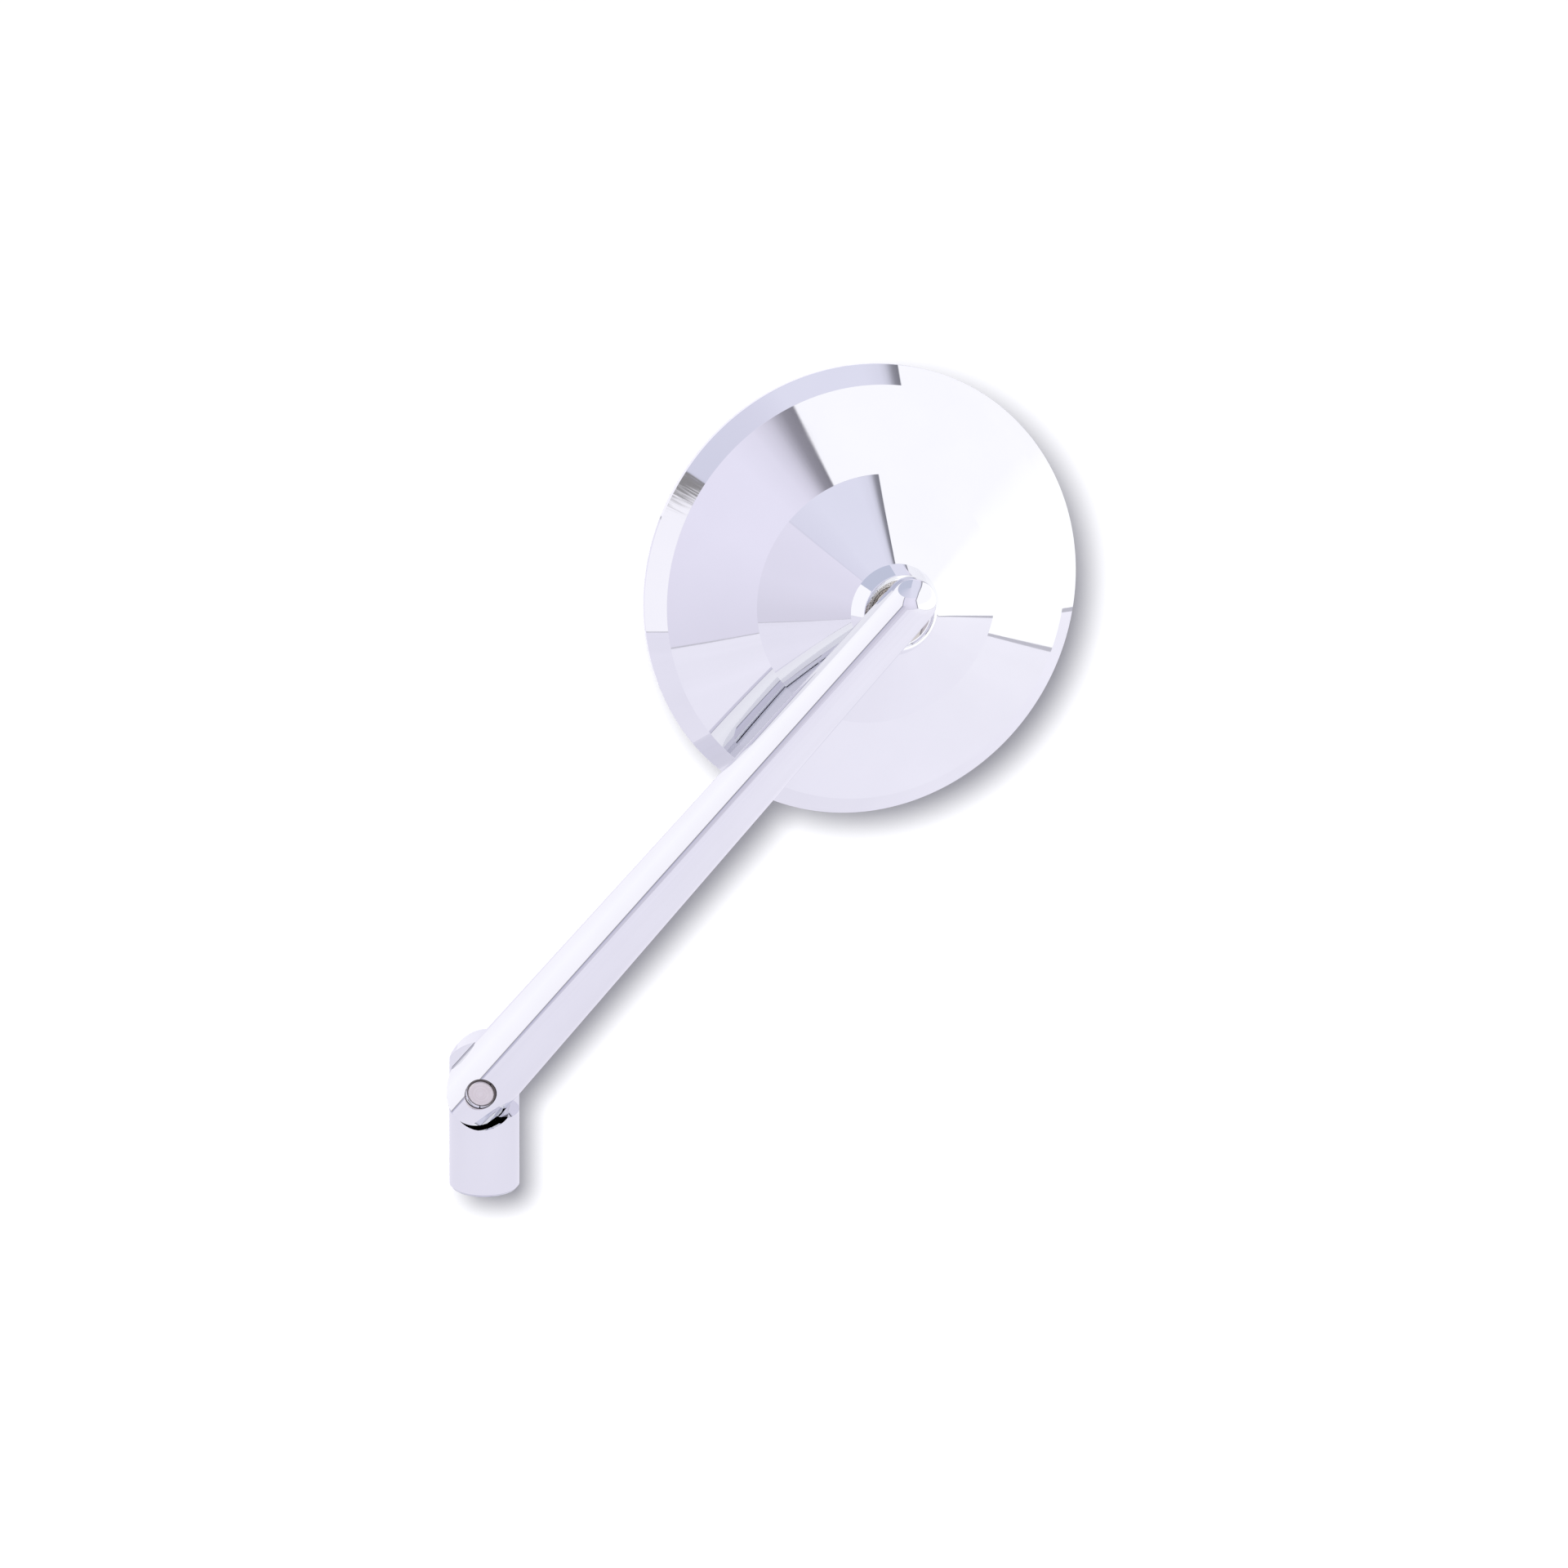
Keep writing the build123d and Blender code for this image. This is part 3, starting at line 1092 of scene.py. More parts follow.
@dataclass
class Knuckle:
    """Foot with its tongue and tapped hole, and the screw that holds the arm to it."""

    layout: Layout
    foot_radius: float = 8.0 * MM
    foot_edge: float = 0.5 * MM
    bore_radius: float = 4.4 * MM
    thread_radius: float = 5.0 * MM
    thread_pitch: float = 1.25 * MM
    thread_shares: tuple[float, float, float] = (0.42, 0.55, 0.95)
    thread_steps: int = 96
    thread_wall: float = 0.05 * MM
    bore_depth: float = 12.0 * MM
    drill_rise: float = 2.4 * MM
    mouth_chamfer: float = 0.7 * MM
    tongue_radius: float = 9.9 * MM
    shoulder_drop: float = 6.5 * MM
    pocket_radius: float = 8.75 * MM
    tongue_face: float = 0.15 * MM
    recess_radius: float = 6.2 * MM
    recess_floor: float = 0.65 * MM
    spring_seat: float = 3.05 * MM
    screw_bore: float = 3.05 * MM
    head_bore: float = 5.2 * MM
    screw_radius: float = 3.0 * MM
    screw_root: float = 2.5 * MM
    screw_pitch: float = 0.75 * MM
    screw_turns: int = 2
    screw_rounding: float = 0.05 * MM
    screw_head_radius: float = 5.0 * MM
    screw_head_height: float = 2.4 * MM
    screw_head_seat: float = 4.05 * MM
    screw_head_edge: float = 0.4 * MM
    screw_seat_edge: float = 0.1 * MM
    screw_end: float = -7.2 * MM
    screw_end_edge: float = 0.08 * MM
    screw_face: float = 2.7 * MM
    screw_chamfer: float = 0.3 * MM
    socket_size: float = 4.0 * MM
    socket_depth: float = 1.6 * MM
    reach: float = 32.0 * MM

    def build_foot(self, chrome: Material) -> None:
        """Turns the foot and cuts its tongue, pocket, bores and hole.

        Args:
            chrome: Its finish.
        """
        low = -self.layout.pivot.z
        outline = [
            Corner(self.thread_radius + self.mouth_chamfer / 2, low),
            Corner(self.foot_radius, low, self.foot_edge),
            Corner(self.foot_radius, -self.pocket_radius - self.foot_edge),
            Corner(self.foot_radius, self.tongue_radius),
            Corner(0.0, self.tongue_radius),
            Corner(0.0, low + self.bore_depth + self.drill_rise),
            Corner(self.bore_radius, low + self.bore_depth),
            Corner(self.thread_radius, low + self.bore_depth - self.thread_pitch),
            Corner(self.thread_radius, low + self.mouth_chamfer / 2),
        ]
        foot = turned("foot_body", rounded(outline, closed=True), True, FINE_STEPS)
        far = self.reach
        roof = block("roof", (-far, -far, 0.0), (far, far, far))
        cut(roof, rod("dome", self.tongue_radius, -2 * far, 2 * far))
        cut(
            foot,
            roof,
            block("front", (-far, -far, -self.shoulder_drop), (far, self.tongue_face, far)),
            rod("pocket", self.pocket_radius, -far, self.tongue_face),
            rod("recess", self.recess_radius, -far, self.recess_floor),
            rod("bore", self.screw_bore, -far, far),
            rod("head_bore", self.head_bore, self.spring_seat, far),
        )
        shade(foot, Crisp.CUT)
        place(foot, self.layout.foot_frame)
        cuts = (self.tongue_radius, self.pocket_radius, self.recess_radius)
        bores = (self.screw_bore, self.head_bore)
        faces = [RoundFace(Axis.LENGTH, self.foot_radius)]
        faces += [RoundFace(Axis.SCREW, radius) for radius in cuts + bores]
        true_normals(foot, self.layout.foot_frame, faces)
        settle(foot, Body.FOOT, Slot.CHROME_FOOT, chrome, "mount_foot")

    def build_thread(self, chrome: Material) -> None:
        """Winds the tapped thread's wall inside the foot's hole.

        Args:
            chrome: Its finish.
        """
        pitch = self.thread_pitch
        crest_start, crest_end, root_start = (share * pitch for share in self.thread_shares)
        section = [
            (self.thread_radius, 0.0),
            (self.bore_radius, crest_start),
            (self.bore_radius, crest_end),
            (self.thread_radius, root_start),
            (self.thread_radius, pitch),
        ]
        turns = int((self.bore_depth - self.mouth_chamfer) / pitch) - 1
        wall = wire("foot_thread", section)
        bpy.ops.mesh.screw(steps=self.thread_steps, turns=turns, center=(0, 0, 0), axis=(0, 0, 1))
        close_mesh()
        finish_with(wall, "SOLIDIFY", thickness=self.thread_wall, offset=0.0)
        shade(wall, Crisp.CUT)
        lowest = min(vertex.co.z for vertex in wall.data.vertices)
        place(wall, Matrix.Translation((0.0, 0.0, self.mouth_chamfer - lowest)))
        settle(wall, Body.FOOT, Slot.CHROME_FOOT, chrome)

    def build_screw(self, steel: Material) -> None:
        """Turns the pivot screw, with its thread where the arm's window shows it.

        Args:
            steel: Its finish.
        """
        end = self.screw_end
        start = end + self.screw_chamfer
        outline = [
            Corner(0.0, end),
            Corner(self.screw_face, end, self.screw_end_edge),
            Corner(self.screw_radius, start, self.screw_rounding),
        ]
        for turn in range(self.screw_turns):
            low = start + turn * self.screw_pitch
            outline.append(Corner(self.screw_root, low + self.screw_pitch / 2, self.screw_rounding))
            outline.append(Corner(self.screw_radius, low + self.screw_pitch))
        head_top = self.screw_head_seat + self.screw_head_height
        outline += [
            Corner(self.screw_radius, self.screw_head_seat, self.screw_seat_edge),
            Corner(self.screw_head_radius, self.screw_head_seat, self.screw_seat_edge),
            Corner(self.screw_head_radius, head_top, self.screw_head_edge),
            Corner(0.0, head_top),
        ]
        screw = turned("pivot_bolt", rounded(outline, closed=False), False, SMALL_STEPS)
        clear_selection()
        bpy.ops.mesh.primitive_cylinder_add(
            vertices=6, radius=self.socket_size / sqrt(3), depth=2 * self.socket_depth,
            location=(0.0, 0.0, head_top),
        )
        cut(screw, bpy.context.object)
        shade(screw, Crisp.STEEL)
        place(screw, self.layout.screw_frame)
        settle(screw, Body.ARM, Slot.SCREW_STEEL, steel, "pivot_screw")


@dataclass
class Arm:
    """Tapering bar with a ball nose and a half-lap end, and the ball stud near its tip."""

    layout: Layout
    length: float = 156.8 * MM
    root_radius: float = 7.8 * MM
    tip_radius: float = 5.8 * MM
    end_radius: float = 8.1 * MM
    pocket_radius: float = 10.55 * MM
    lap_face: float = -0.15 * MM
    shoulder_rise: float = 8.0 * MM
    screw_bore: float = 3.02 * MM
    window_radius: float = 3.35 * MM
    window_floor: float = -5.8 * MM
    sink_floor: float = -6.7 * MM
    sink_angle: float = 60.0
    # how far the painted shade round the screw reaches up the arm
    window_shade_shift: float = 0.25 * MM
    flange_radius: float = 4.25 * MM
    flange_thickness: float = 1.0 * MM
    flange_sink: float = 0.4 * MM
    flange_edge: float = 0.2 * MM
    seat_edge: float = 0.15 * MM
    seat_gap: float = 0.2 * MM
    thread_radius: float = 3.0 * MM
    thread_length: float = 8.0 * MM
    thread_edge: float = 0.3 * MM
    hole_spare: float = 1.0 * MM
    ball_radius: float = 6.0 * MM
    neck_radius: float = 3.0 * MM
    neck_fillet: float = 0.4 * MM
    flats: float = 5.0 * MM
    flats_length: float = 3.0 * MM
    reach: float = 32.0 * MM

    def radius_at(self, station: float) -> float:
        """Radius of the bar at a distance from the knuckle."""
        return self.root_radius + (self.tip_radius - self.root_radius) * station / self.length

    def sink_radius(self, station: float) -> float:
        """Radius of the window's countersink at a place along the screw."""
        return self.window_radius + (self.sink_floor - station) * tan(radians(self.sink_angle / 2))

    @property
    def flange_seat(self) -> float:
        """Distance from the ball's centre to the flange's seat in the arm."""
        return self.layout.stand_off - self.radius_at(self.layout.stud_station) + self.flange_sink

    @property
    def window_shade_frame(self) -> Matrix:
        """Frame of the painted shade round the screw, which reaches a little further up the arm."""
        return self.layout.arm_frame @ Matrix.Translation((0.0, 0.0, self.window_shade_shift)) @ Z_TO_Y

    def build_bar(self, chrome: Material) -> None:
        """Turns the bar and cuts its half-lap, screw window and stud seat.

        Args:
            chrome: Its finish.
        """
        root = -2 * self.end_radius
        shoulder = self.pocket_radius + self.shoulder_rise
        rings = (root, shoulder, self.layout.stud_station - self.end_radius)
        outline = [Corner(0.0, root)]
        outline += [Corner(self.radius_at(station), station) for station in rings]
        outline += arc(self.tip_radius, self.length, 90.0, 0.0, count=24)
        bar = turned("arm_bar", rounded(outline, closed=False), False, FINE_STEPS)
        far = self.reach
        below = block("below", (-far, -far, 2 * root), (far, far, 0.0))
        cut(below, rod("end", self.end_radius, -2 * far, 2 * far))
        cut(
            bar,
            below,
            block("back", (-far, self.lap_face, 2 * root), (far, far, self.shoulder_rise)),
            rod("pocket", self.pocket_radius, self.lap_face, far),
            rod("bore", self.screw_bore, -far, far),
            rod("window", self.window_radius, -far, self.window_floor),
            rod("sink", self.window_radius, -far, self.sink_floor, self.sink_radius(-far)),
        )
        seat_face = self.layout.stand_off - self.flange_seat
        hole_end = seat_face - self.thread_length - self.hole_spare
        station = Matrix.Translation((0.0, 0.0, self.layout.stud_station))
        for name, radius, floor in (
            ("seat", self.flange_radius + self.seat_gap, seat_face),
            ("hole", self.thread_radius, hole_end),
        ):
            tool = rod(name, radius, floor, far)
            place(tool, station)
            cut(bar, tool)
        shade(bar, Crisp.CUT)
        place(bar, self.layout.arm_frame)
        taper = (self.tip_radius - self.root_radius) / self.length
        cuts = (self.end_radius, self.pocket_radius, self.window_radius, self.screw_bore)
        faces = [RoundFace(Axis.LENGTH, self.root_radius, taper)]
        faces += [RoundFace(Axis.SCREW, radius) for radius in cuts]
        faces += [RoundFace(Axis.SCREW, self.sink_radius(0.0), -tan(radians(self.sink_angle / 2)))]
        true_normals(bar, self.layout.arm_frame, faces)
        settle(bar, Body.ARM, Slot.CHROME_ARM, chrome, "arm_stem")

    def build_stud(self, steel: Material) -> None:
        """Turns the ball, neck, flange and shank, and mills the spanner flats.

        Args:
            steel: Its finish.
        """
        neck_angle = degrees(asin(self.neck_radius / self.ball_radius))
        flange_start = self.flange_seat - self.flange_thickness
        end = self.flange_seat + self.thread_length
        outline = arc(self.ball_radius, 0.0, 180.0, neck_angle, count=40)
        outline += [
            Corner(self.neck_radius, flange_start, self.neck_fillet),
            Corner(self.flange_radius, flange_start, self.flange_edge),
            Corner(self.flange_radius, self.flange_seat, self.seat_edge),
            Corner(self.thread_radius, self.flange_seat),
            Corner(self.thread_radius, end, self.thread_edge),
            Corner(0.0, end),
        ]
        stud = turned("ball_pin", rounded(outline, closed=False), False, SMALL_STEPS)
        low = flange_start - self.flats_length
        for side in (-1, 1):
            near, far = sorted((side * self.flats / 2, side * 2 * self.neck_radius))
            cut(stud, block("flat", (near, -self.reach, low), (far, self.reach, flange_start)))
        shade(stud, Crisp.STEEL)
        place(stud, self.layout.stud_frame)
        settle(stud, Body.ARM, Slot.STUD_STEEL, steel, "ball_stud")


def dress_hidden(nodes: dict[str, Object], head_grain: Grain, foot_grain: Grain) -> None:
    """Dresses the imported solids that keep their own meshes.

    Args:
        nodes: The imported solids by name.
        head_grain: Grain of the head and the ball joint.
        foot_grain: Grain of the foot.
    """
    steel = TurnedMetal(light=(0.42, 0.41, 0.4), dark=(0.25, 0.24, 0.235), smooth=0.25, rough=0.4)
    alloy = TurnedMetal(light=(0.74, 0.74, 0.75), dark=(0.6, 0.6, 0.61), smooth=0.24, rough=0.36)
    nylon = MouldedPlastic((0.02, 0.02, 0.023), (0.05, 0.05, 0.055), rough=0.5, grain_scale=2600.0)
    acetal = MouldedPlastic((0.76, 0.74, 0.7), (0.82, 0.8, 0.76), rough=0.35, grain_scale=2600.0)
    foam = MouldedPlastic(grey(0.03), grey(0.07), rough=0.85, grain_scale=1800.0)
    for slot, look, grain, names in (
        (Slot.WASHER, nylon, foot_grain, ("lap_washer",)),
        (Slot.SPRING_STEEL, steel, head_grain, ("disc_spring", "cup_spring")),
        (Slot.SEAT, acetal, head_grain, ("upper_seat", "lower_seat")),
        (Slot.CUP_ALLOY, alloy, head_grain, ("pressure_cup", "socket_plug")),
        (Slot.TAPE, foam, head_grain, ("glass_tape",)),
    ):
        finish = look.material(slot, grain)
        for name in names:
            dress(nodes[name], finish)
            log.info("%s: packed solid dressed", name)


@dataclass(frozen=True)
class LightTent:
    """Walls round the mirror: a white soft panel at the right, lilac cloth by the camera, a roof.

    Turns are compass angles from the camera's side, positive to the right, in degrees. Rises
    are heights on a unit sphere about the mirror.
    """

    panel: Colour = (1.14, 1.13, 1.18)
    panel_foot: Colour = (1.24, 1.24, 1.24)
    panel_rises: Pair = (0.02, 0.16)
    panel_slope: float = 0.70
    panel_bend: float = 0.256
    bend_from: float = 0.32
    low_from: float = 0.45
    low_bend: float = 0.8
    panel_shade: tuple[Pair, ...] = (
        (0.2, 1.0), (0.15, 0.97), (0.108, 0.94), (0.08, 0.83),
        (0.065, 0.71), (0.05, 0.53), (0.033, 0.365), (0.0, 0.265),
    )
    lilac: Colour = (0.93, 0.897, 1.05)
    low_shade: float = 0.9
    low_rises: Pair = (-0.24, 0.2)
    aside_shade: float = 0.93
    aside_turns: Pair = (-16.0, 4.0)
    side_wall: Colour = (1.08, 1.06, 1.13)
    back_wall: Colour = (0.96, 0.935, 1.06)
    wall_turns: tuple[float, float, float] = (-180.0, -140.0, -90.0)
    roof: Colour = (0.79, 0.78, 0.93)
    bright_roof: Colour = (0.86, 0.855, 1.0)
    back_roof: Colour = (0.61, 0.64, 0.79)
    roof_angle: float = 38.5
    roof_turns: Pair = (-180.0, 20.0)
    roof_stops: tuple[float, float, float] = (0.45, 0.83, 0.95)
    seam: float = 0.003
    seam_shade: float = 0.92
    seam_shadow: Pair = (0.004, 0.012)
    strip: Colour = (0.3, 0.29, 0.3)
    strip_fade: Colour = (0.64, 0.635, 0.83)
    strip_turn: float = -33.0
    strip_edges: tuple[float, float, float, float] = (-1.2, -0.2, 1.4, 1.8)
    cloth_edges: Pair = (5.0, 8.0)
    fringe: float = 0.9
    fringe_scale: float = 110.0
    fringe_levels: Pair = (0.3, 0.7)
    corner_width: float = 14.0
    corner_rises: Pair = (-0.02, 0.06)
    corner_fade: tuple[Pair, ...] = ((0.0, 1.0), (0.14, 0.79), (0.85, 0.9), (1.0, 1.0))

    def build(self) -> None:
        """Paints the world for mirrored rays, and plain white for the camera."""
        world = bpy.data.worlds.new("light_tent")
        bpy.context.scene.world = world
        world.use_nodes = True
        shader = Shader(world.node_tree)
        where = shader.node("ShaderNodeTexCoord").outputs["Generated"]
        x, y, z = shader.split(where)
        forward = shader.math("MULTIPLY", y, -1.0)
        compass = shader.math("MULTIPLY", shader.math("ARCTAN2", x, forward), degrees(1.0))
        front = self.front(shader, compass, self.past_panel(shader, x, forward, z), z)
        side = self.side(shader, where, compass, z)
        cloth_start, cloth_end = (self.strip_turn + edge for edge in self.cloth_edges)
        walls = shader.mix(shader.span(compass, (cloth_start, cloth_end)), side, front)
        tent = shader.dim(walls, self.corner_shade(shader, compass, z))
        path = shader.node("ShaderNodeLightPath")
        seen = shader.mix(path.outputs["Is Camera Ray"], tent, grey(1.0))
        background = shader.node("ShaderNodeBackground")
        output = shader.node("ShaderNodeOutputWorld")
        shader.join(seen, background.inputs["Color"])
        shader.join(background.outputs[0], output.inputs["Surface"])

    def corner_shade(self, shader: Shader, compass: NodeSocket, z: NodeSocket) -> NodeSocket:
        """Shades the cloth's low corner beside the strip, which the arm's dark line fades into.

        Args:
            shader: Tree of the world.
            compass: Compass angle of a direction.
            z: Its rise.

        Returns:
            The shade.
        """
        beside = shader.span(compass, (self.strip_turn, self.strip_turn + self.corner_width))
        shade_in = shader.ramp(beside, [(share, grey(level)) for share, level in self.corner_fade])
        return shader.mix(shader.span(z, self.corner_rises), shade_in, grey(1.0))

    def past_panel(
        self, shader: Shader, x: NodeSocket, forward: NodeSocket, z: NodeSocket
    ) -> NodeSocket:
        """Measures from the soft panel's left edge, which leans over towards the table.

        Args:
            shader: Tree of the world.
            x: How far to the right a direction goes.
            forward: How far it goes towards the camera.
            z: Its rise.

        Returns:
            How far it is past the edge.
        """
        bend = shader.math("SUBTRACT", forward, shader.math("MULTIPLY", z, self.bend_from))
        bend = shader.math("MULTIPLY", shader.math("MAXIMUM", bend, 0.0), self.panel_bend)
        low = shader.math("MAXIMUM", shader.math("SUBTRACT", self.low_from, z), 0.0)
        bend = shader.math("ADD", bend, shader.math("MULTIPLY", low, self.low_bend))
        past = shader.math("SUBTRACT", x, shader.math("MULTIPLY", z, self.panel_slope))
        return shader.math("SUBTRACT", past, bend)

    def under_roof(self, shader: Shader, compass: NodeSocket, z: NodeSocket, wall: Any) -> NodeSocket:
        """Puts the roof over a wall, with a faint shadow along their seam.

        Args:
            shader: Tree of the world.
            compass: Compass angle of a direction.
            z: Its rise.
            wall: Colour of the wall.

        Returns:
            The colour of wall and roof.
        """
        seam = sin(radians(self.roof_angle))
        shades = (self.back_roof, self.roof, self.bright_roof)
        roof = shader.ramp(shader.span(compass, self.roof_turns), list(zip(self.roof_stops, shades)))
        over = shader.span(z, (seam - self.seam, seam + self.seam))
        below, above = self.seam_shadow
        rises = (seam - below, seam, seam + above)
        shadow = shader.ramp(z, list(zip(rises, map(grey, (1.0, self.seam_shade, 1.0)))))
        return shader.dim(shader.mix(over, wall, roof), shadow)

    def front(self, shader: Shader, compass: NodeSocket, past: NodeSocket, z: NodeSocket) -> NodeSocket:
        """Hangs the cloth behind the camera, darker towards the soft panel, and the panel.

        Args:
            shader: Tree of the world.
            compass: Compass angle of a direction.
            past: How far it is past the panel's edge.
            z: Its rise.

        Returns:
            The colour of cloth and panel.
        """
        low = shader.span(z, self.low_rises, self.low_shade)
        aside = shader.span(compass, self.aside_turns, self.aside_shade)
        wall = shader.mix(shader.math("MULTIPLY", low, aside), grey(0.0), self.lilac)
        cloth = self.under_roof(shader, compass, z, wall)
        stops = [(1.0 - depth, grey(level)) for depth, level in self.panel_shade]
        shadow = shader.ramp(shader.math("ADD", past, 1.0, clamp=True), stops)
        panel = shader.ramp(z, list(zip(self.panel_rises, (self.panel_foot, self.panel))))
        return shader.mix(shader.span(past, (-self.seam, self.seam)), shader.dim(cloth, shadow), panel)

    def side(self, shader: Shader, where: NodeSocket, compass: NodeSocket, z: NodeSocket) -> NodeSocket:
        """Sets the white wall at the left, with a dark fringed strip where it meets the cloth.

        Args:
            shader: Tree of the world.
            where: A direction.
            compass: Its compass angle.
            z: Its rise.

        Returns:
            The colour of wall and strip.
        """
        waves = shader.noise(where, self.fringe_scale, detail=3.0)
        fringe = shader.span(waves, self.fringe_levels, -self.fringe, self.fringe)
        low, high = self.wall_turns[0], self.strip_turn + self.cloth_edges[1]
        turns = (*self.wall_turns, *(self.strip_turn + edge for edge in self.strip_edges), high)
        colours = (
            self.back_wall, self.side_wall, self.panel, self.side_wall,
            self.strip, self.strip, self.strip_fade, self.lilac,
        )
        stops = [((turn - low) / (high - low), colour) for turn, colour in zip(turns, colours)]
        turned_to = shader.span(shader.math("ADD", compass, fringe), (low, high))
        return self.under_roof(shader, compass, z, shader.ramp(turned_to, stops))


@dataclass
class Stage:
    """Floor, table, lamp and camera of the photograph."""

    photo_size: int = 1920
    pixel_size: float = 0.1864 * MM
    pivot_pixel: Pair = (592.5, 1325.6)
    camera_turn: float = 6.0
    camera_rise: float = 22.0
    focus_depth: float = 18.0 * MM
    lens: float = 1500.0
    floor_size: float = 24.0
    floor_drop: float = 0.8
    floor_levels: Pair = (0.36, 0.3672)
    floor_mottle: float = 6.0
    floor_rough: float = 0.9
    floor_shine: float = 0.1
    table_corners: tuple[Pair, ...] = (
        (0.54, -0.62), (0.408, 0.0), (0.379, 0.135), (0.336, 0.231), (0.17, 0.6),
        (-0.6, 0.6), (-0.36, -0.15), (-0.25, -0.381), (-0.13, -0.553), (0.132, -0.577),
    )
    table_shades: tuple[Colour, ...] = ((0.9, 0.875, 1.0), (0.935, 0.91, 1.03), (1.03, 1.01, 1.1))
    table_stops: tuple[float, float, float] = (0.0, 0.45, 1.0)
    table_reach: Pair = (-0.2, 0.35)
    table_mottle: float = 9.0
    table_levels: Pair = (0.98, 1.02)
    mottle_levels: Pair = (0.3, 0.7)
    # painted contact shadow on the table round the foot: its level and its reach
    foot_shade: float = 0.965
    foot_reach: Pair = (0.05, 0.2)
    edge_share: float = 1.03
    edge_drop: float = 0.5 * MM
    edge_shade: Colour = (0.6, 0.59, 0.66)
    lamp_aside: float = 24.0 * MM
    lamp_over: float = 21.0 * MM
    lamp_radius: float = 33.0 * MM
    lamp_level: float = 65000.0

    def build_floor(self) -> Object:
        """Lays a pale floor well below the mirror, which keeps its soft shadow.

        Returns:
            The floor.
        """
        clear_selection()
        bpy.ops.mesh.primitive_plane_add(size=self.floor_size)
        floor = bpy.context.object
        floor.name = "floor"
        place(floor, Matrix.Translation((0.0, 0.0, -self.floor_drop)))
        surface = Surface("floor")
        shader = surface.shader
        where = shader.node("ShaderNodeTexCoord").outputs["Object"]
        mottle = shader.noise(where, self.floor_mottle, detail=3.0)
        colour = shader.ramp(mottle, list(zip(self.mottle_levels, map(grey, self.floor_levels))))
        surface.wear(Roughness=self.floor_rough, Specular_IOR_Level=self.floor_shine)
        dress(floor, surface.wear(Base_Color=colour))
        floor.visible_glossy = False
        return floor

    def sheet(self, name: str, corners: Sequence[Pair], height: float) -> tuple[Shader, Node]:
        """Lays a flat glowing sheet that only mirrored rays see.

        Args:
            name: Name of the sheet.
            corners: Its corners, seen from above.
            height: Its height.

        Returns:
            The tree of its material, and the glow in it that takes a colour.
        """
        sheet = wire(name, [*corners, corners[0]])
        bpy.ops.mesh.remove_doubles(threshold=WELD)
        bpy.ops.mesh.edge_face_add()
        bpy.ops.object.mode_set(mode="OBJECT")
        place(sheet, Matrix.Translation((0.0, 0.0, height)) @ Z_TO_Y)
        material = bpy.data.materials.new(f"finish_{name}")
        material.use_nodes = True
        shader = Shader(material.node_tree)
        glow = shader.node("ShaderNodeEmission")
        output = shader.node("ShaderNodeOutputMaterial")
        shader.join(glow.outputs[0], output.inputs["Surface"])
        dress(sheet, material)
        sheet.visible_camera = sheet.visible_diffuse = sheet.visible_shadow = False
        return shader, glow

    def build_table(self) -> None:
        """Lays the lilac table top that the chrome mirrors, paler to the right, with painted shade
        round the foot and a dark edge.
        """
        shader, glow = self.sheet("table_top", self.table_corners, 0.0)
        where = shader.node("ShaderNodeTexCoord").outputs["Object"]
        across = shader.span(shader.split(where)[0], self.table_reach)
        colour = shader.ramp(across, list(zip(self.table_stops, self.table_shades)))
        away = shader.node("ShaderNodeVectorMath", operation="LENGTH")
        shader.join(where, away.inputs[0])
        # painted shadow: the table's glow dims round the foot
        near = shader.span(away.outputs["Value"], self.foot_reach, self.foot_shade)
        waves = shader.noise(where, self.table_mottle, detail=3.0)
        mottle = shader.span(waves, self.mottle_levels, *self.table_levels)
        shader.join(colour, glow.inputs["Color"])
        shader.join(shader.math("MULTIPLY", near, mottle), glow.inputs["Strength"])
        rim = [(x * self.edge_share, y * self.edge_share) for x, y in self.table_corners]
        shader, glow = self.sheet("table_edge", rim, -self.edge_drop)
        shader.feed(glow.inputs["Color"], self.edge_shade)

    def build_lamp(self, floor: Object, camera: Object) -> None:
        """Hangs a lamp above the camera's left, which lights only the floor and drops the shadow.

        Args:
            floor: The floor.
            camera: The camera.
        """
        bpy.ops.object.light_add(type="POINT")
        lamp = bpy.context.object
        lamp.name = "shadow_lamp"
        lamp.location = camera.matrix_world @ Vector((-self.lamp_aside, self.lamp_over, 0.0))
        lamp.data.energy = self.lamp_level
        lamp.data.shadow_soft_size = self.lamp_radius
        lit = bpy.data.collections.new("lit_by_shadow_lamp")
        lit.objects.link(floor)
        lamp.light_linking.receiver_collection = lit

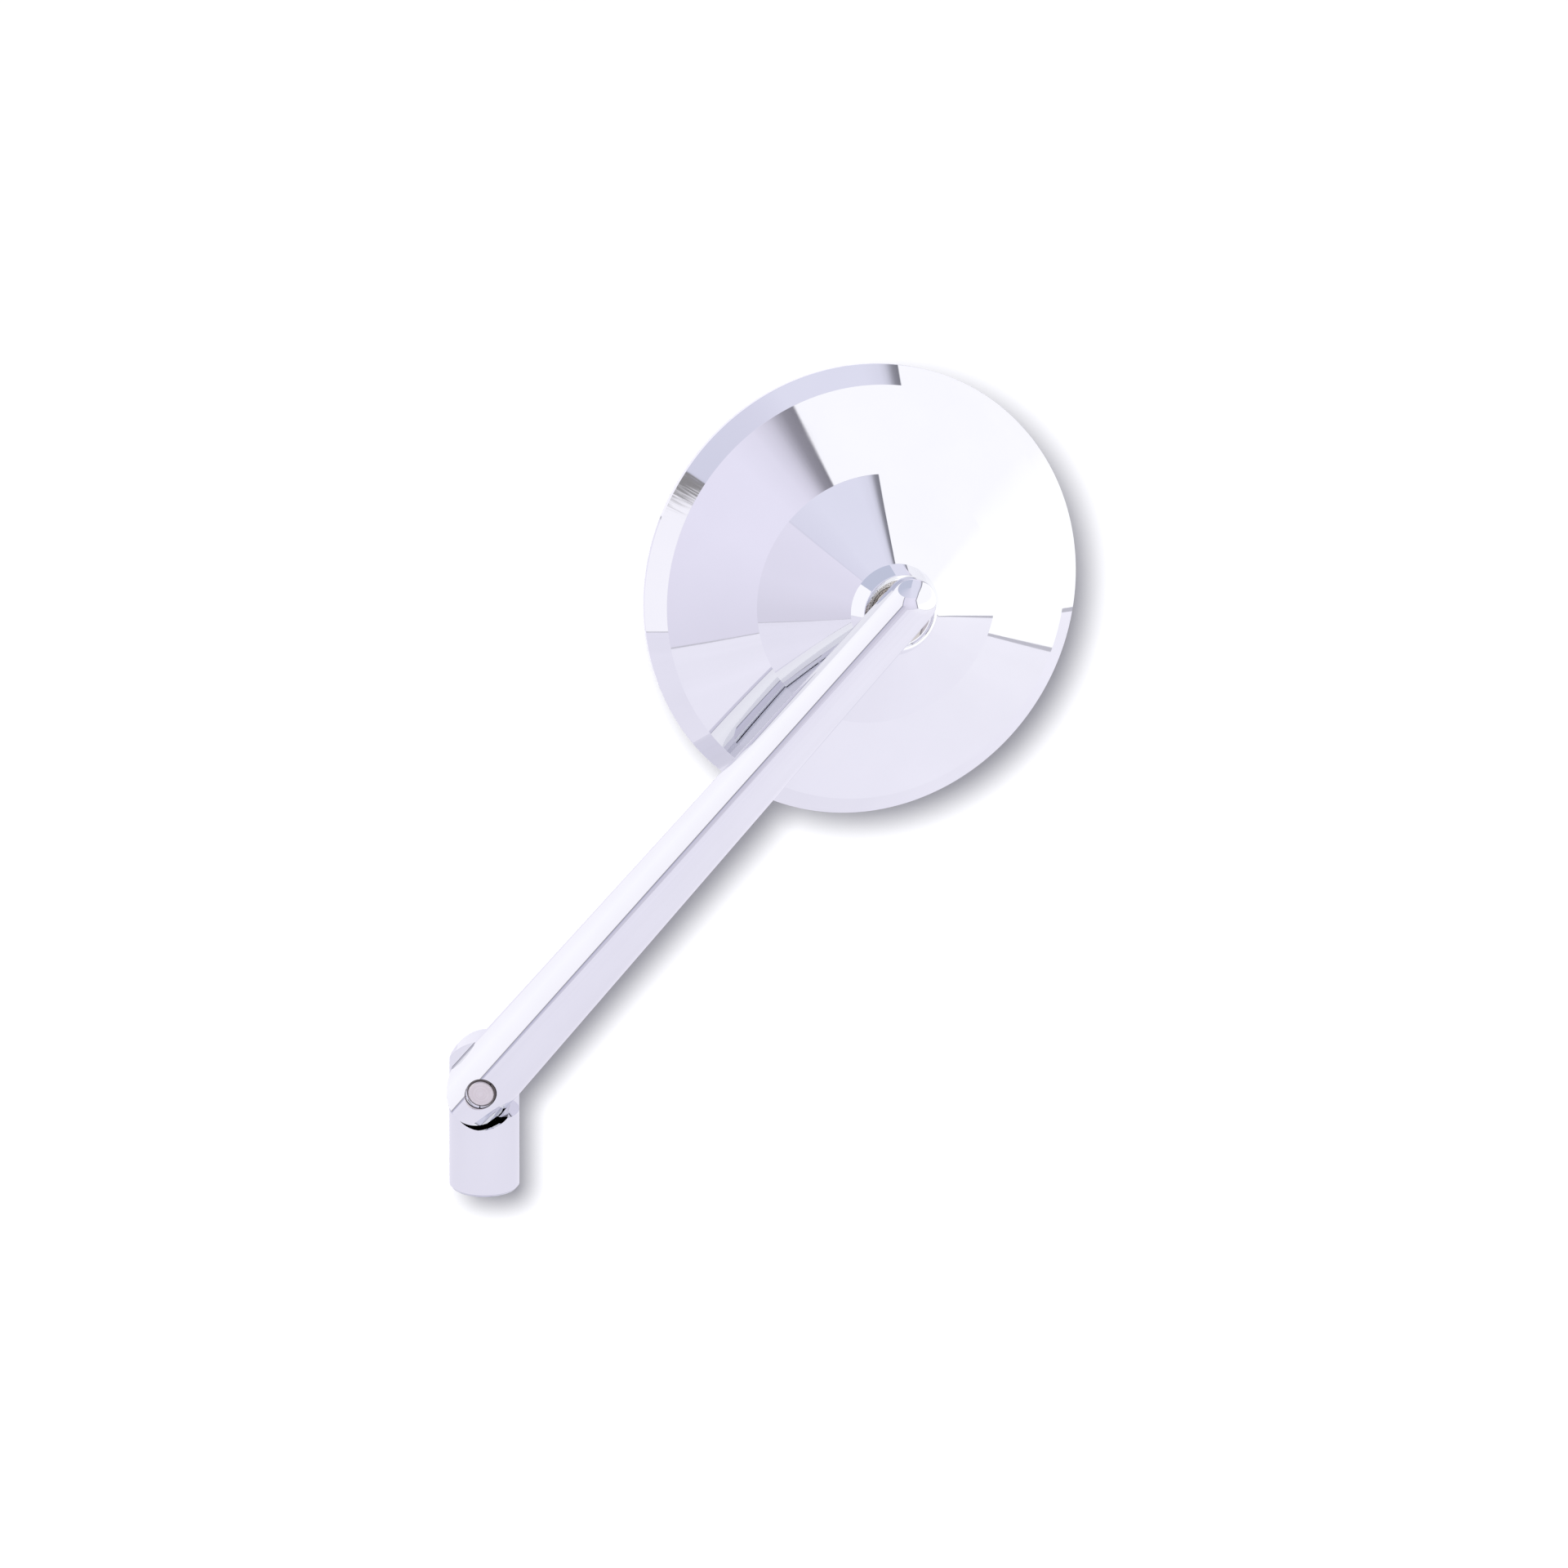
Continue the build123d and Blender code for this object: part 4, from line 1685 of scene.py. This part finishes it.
    def build_camera(self, pivot: Vector) -> Object:
        """Sets the camera at the photograph's angle and framing.

        Args:
            pivot: Place of the knuckle.

        Returns:
            The camera.
        """
        towards = compass_direction(self.camera_turn, self.camera_rise)
        right = Vector((-towards.y, towards.x, 0.0)).normalized()
        upward = towards.cross(right)
        middle = self.photo_size / 2
        aside = (middle - self.pivot_pixel[0]) * self.pixel_size
        over = (self.pivot_pixel[1] - middle) * self.pixel_size
        target = pivot + right * aside + upward * over + towards * self.focus_depth
        data = bpy.data.cameras.new("camera")
        camera = bpy.data.objects.new("camera", data)
        bpy.context.scene.collection.objects.link(camera)
        data.lens = self.lens
        distance = self.photo_size * self.pixel_size * self.lens / data.sensor_width
        camera.matrix_world = basis(target + towards * distance, right, towards)
        bpy.context.scene.camera = camera
        return camera


def main() -> None:
    """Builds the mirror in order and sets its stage."""
    logging.basicConfig(level=logging.INFO, format="%(name)s: %(message)s")
    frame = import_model()
    layout = Layout.from_joints(frame["joints"])
    head, knuckle, arm = Head(layout), Knuckle(layout), Arm(layout)
    head_grain, foot_grain = Grain(head.frame), Grain(layout.foot_frame)
    arm_grain, stud_grain = Grain(layout.arm_frame), Grain(layout.stud_frame)
    screw_grain, window_shade_grain = Grain(layout.screw_frame), Grain(arm.window_shade_frame)

    # the arm's chrome carries painted shade in its screw window's hollow
    chrome, shaded_bore_chrome = ChromePlate(), ChromePlate(PaintedBoreShade(window_shade_grain))
    satin = TurnedMetal(light=(0.78, 0.74, 0.74), dark=(0.68, 0.63, 0.63), smooth=0.3, rough=0.44)
    polished = TurnedMetal(
        light=(0.7, 0.665, 0.63), dark=(0.63, 0.59, 0.555),
        smooth=0.07, rough=0.13, ring_depth=0.0008 * MM,
    )
    foot_chrome = chrome.material(Slot.CHROME_FOOT, foot_grain)
    head.build_housing(chrome.material(Slot.CHROME_HEAD, head_grain))
    head.build_glass(SilveredGlass().material(Slot.MIRROR, head_grain))
    knuckle.build_foot(foot_chrome)
    knuckle.build_thread(foot_chrome)
    knuckle.build_screw(satin.material(Slot.SCREW_STEEL, screw_grain))
    arm.build_bar(shaded_bore_chrome.material(Slot.CHROME_ARM, arm_grain))
    arm.build_stud(polished.material(Slot.STUD_STEEL, stud_grain))
    dress_hidden(frame["nodes"], head_grain, foot_grain)

    stage = Stage()
    stage.build_table()
    stage.build_lamp(stage.build_floor(), stage.build_camera(layout.pivot))
    LightTent().build()
    bpy.context.scene.view_settings.view_transform = "Standard"


if __name__ == "__main__":
    main()
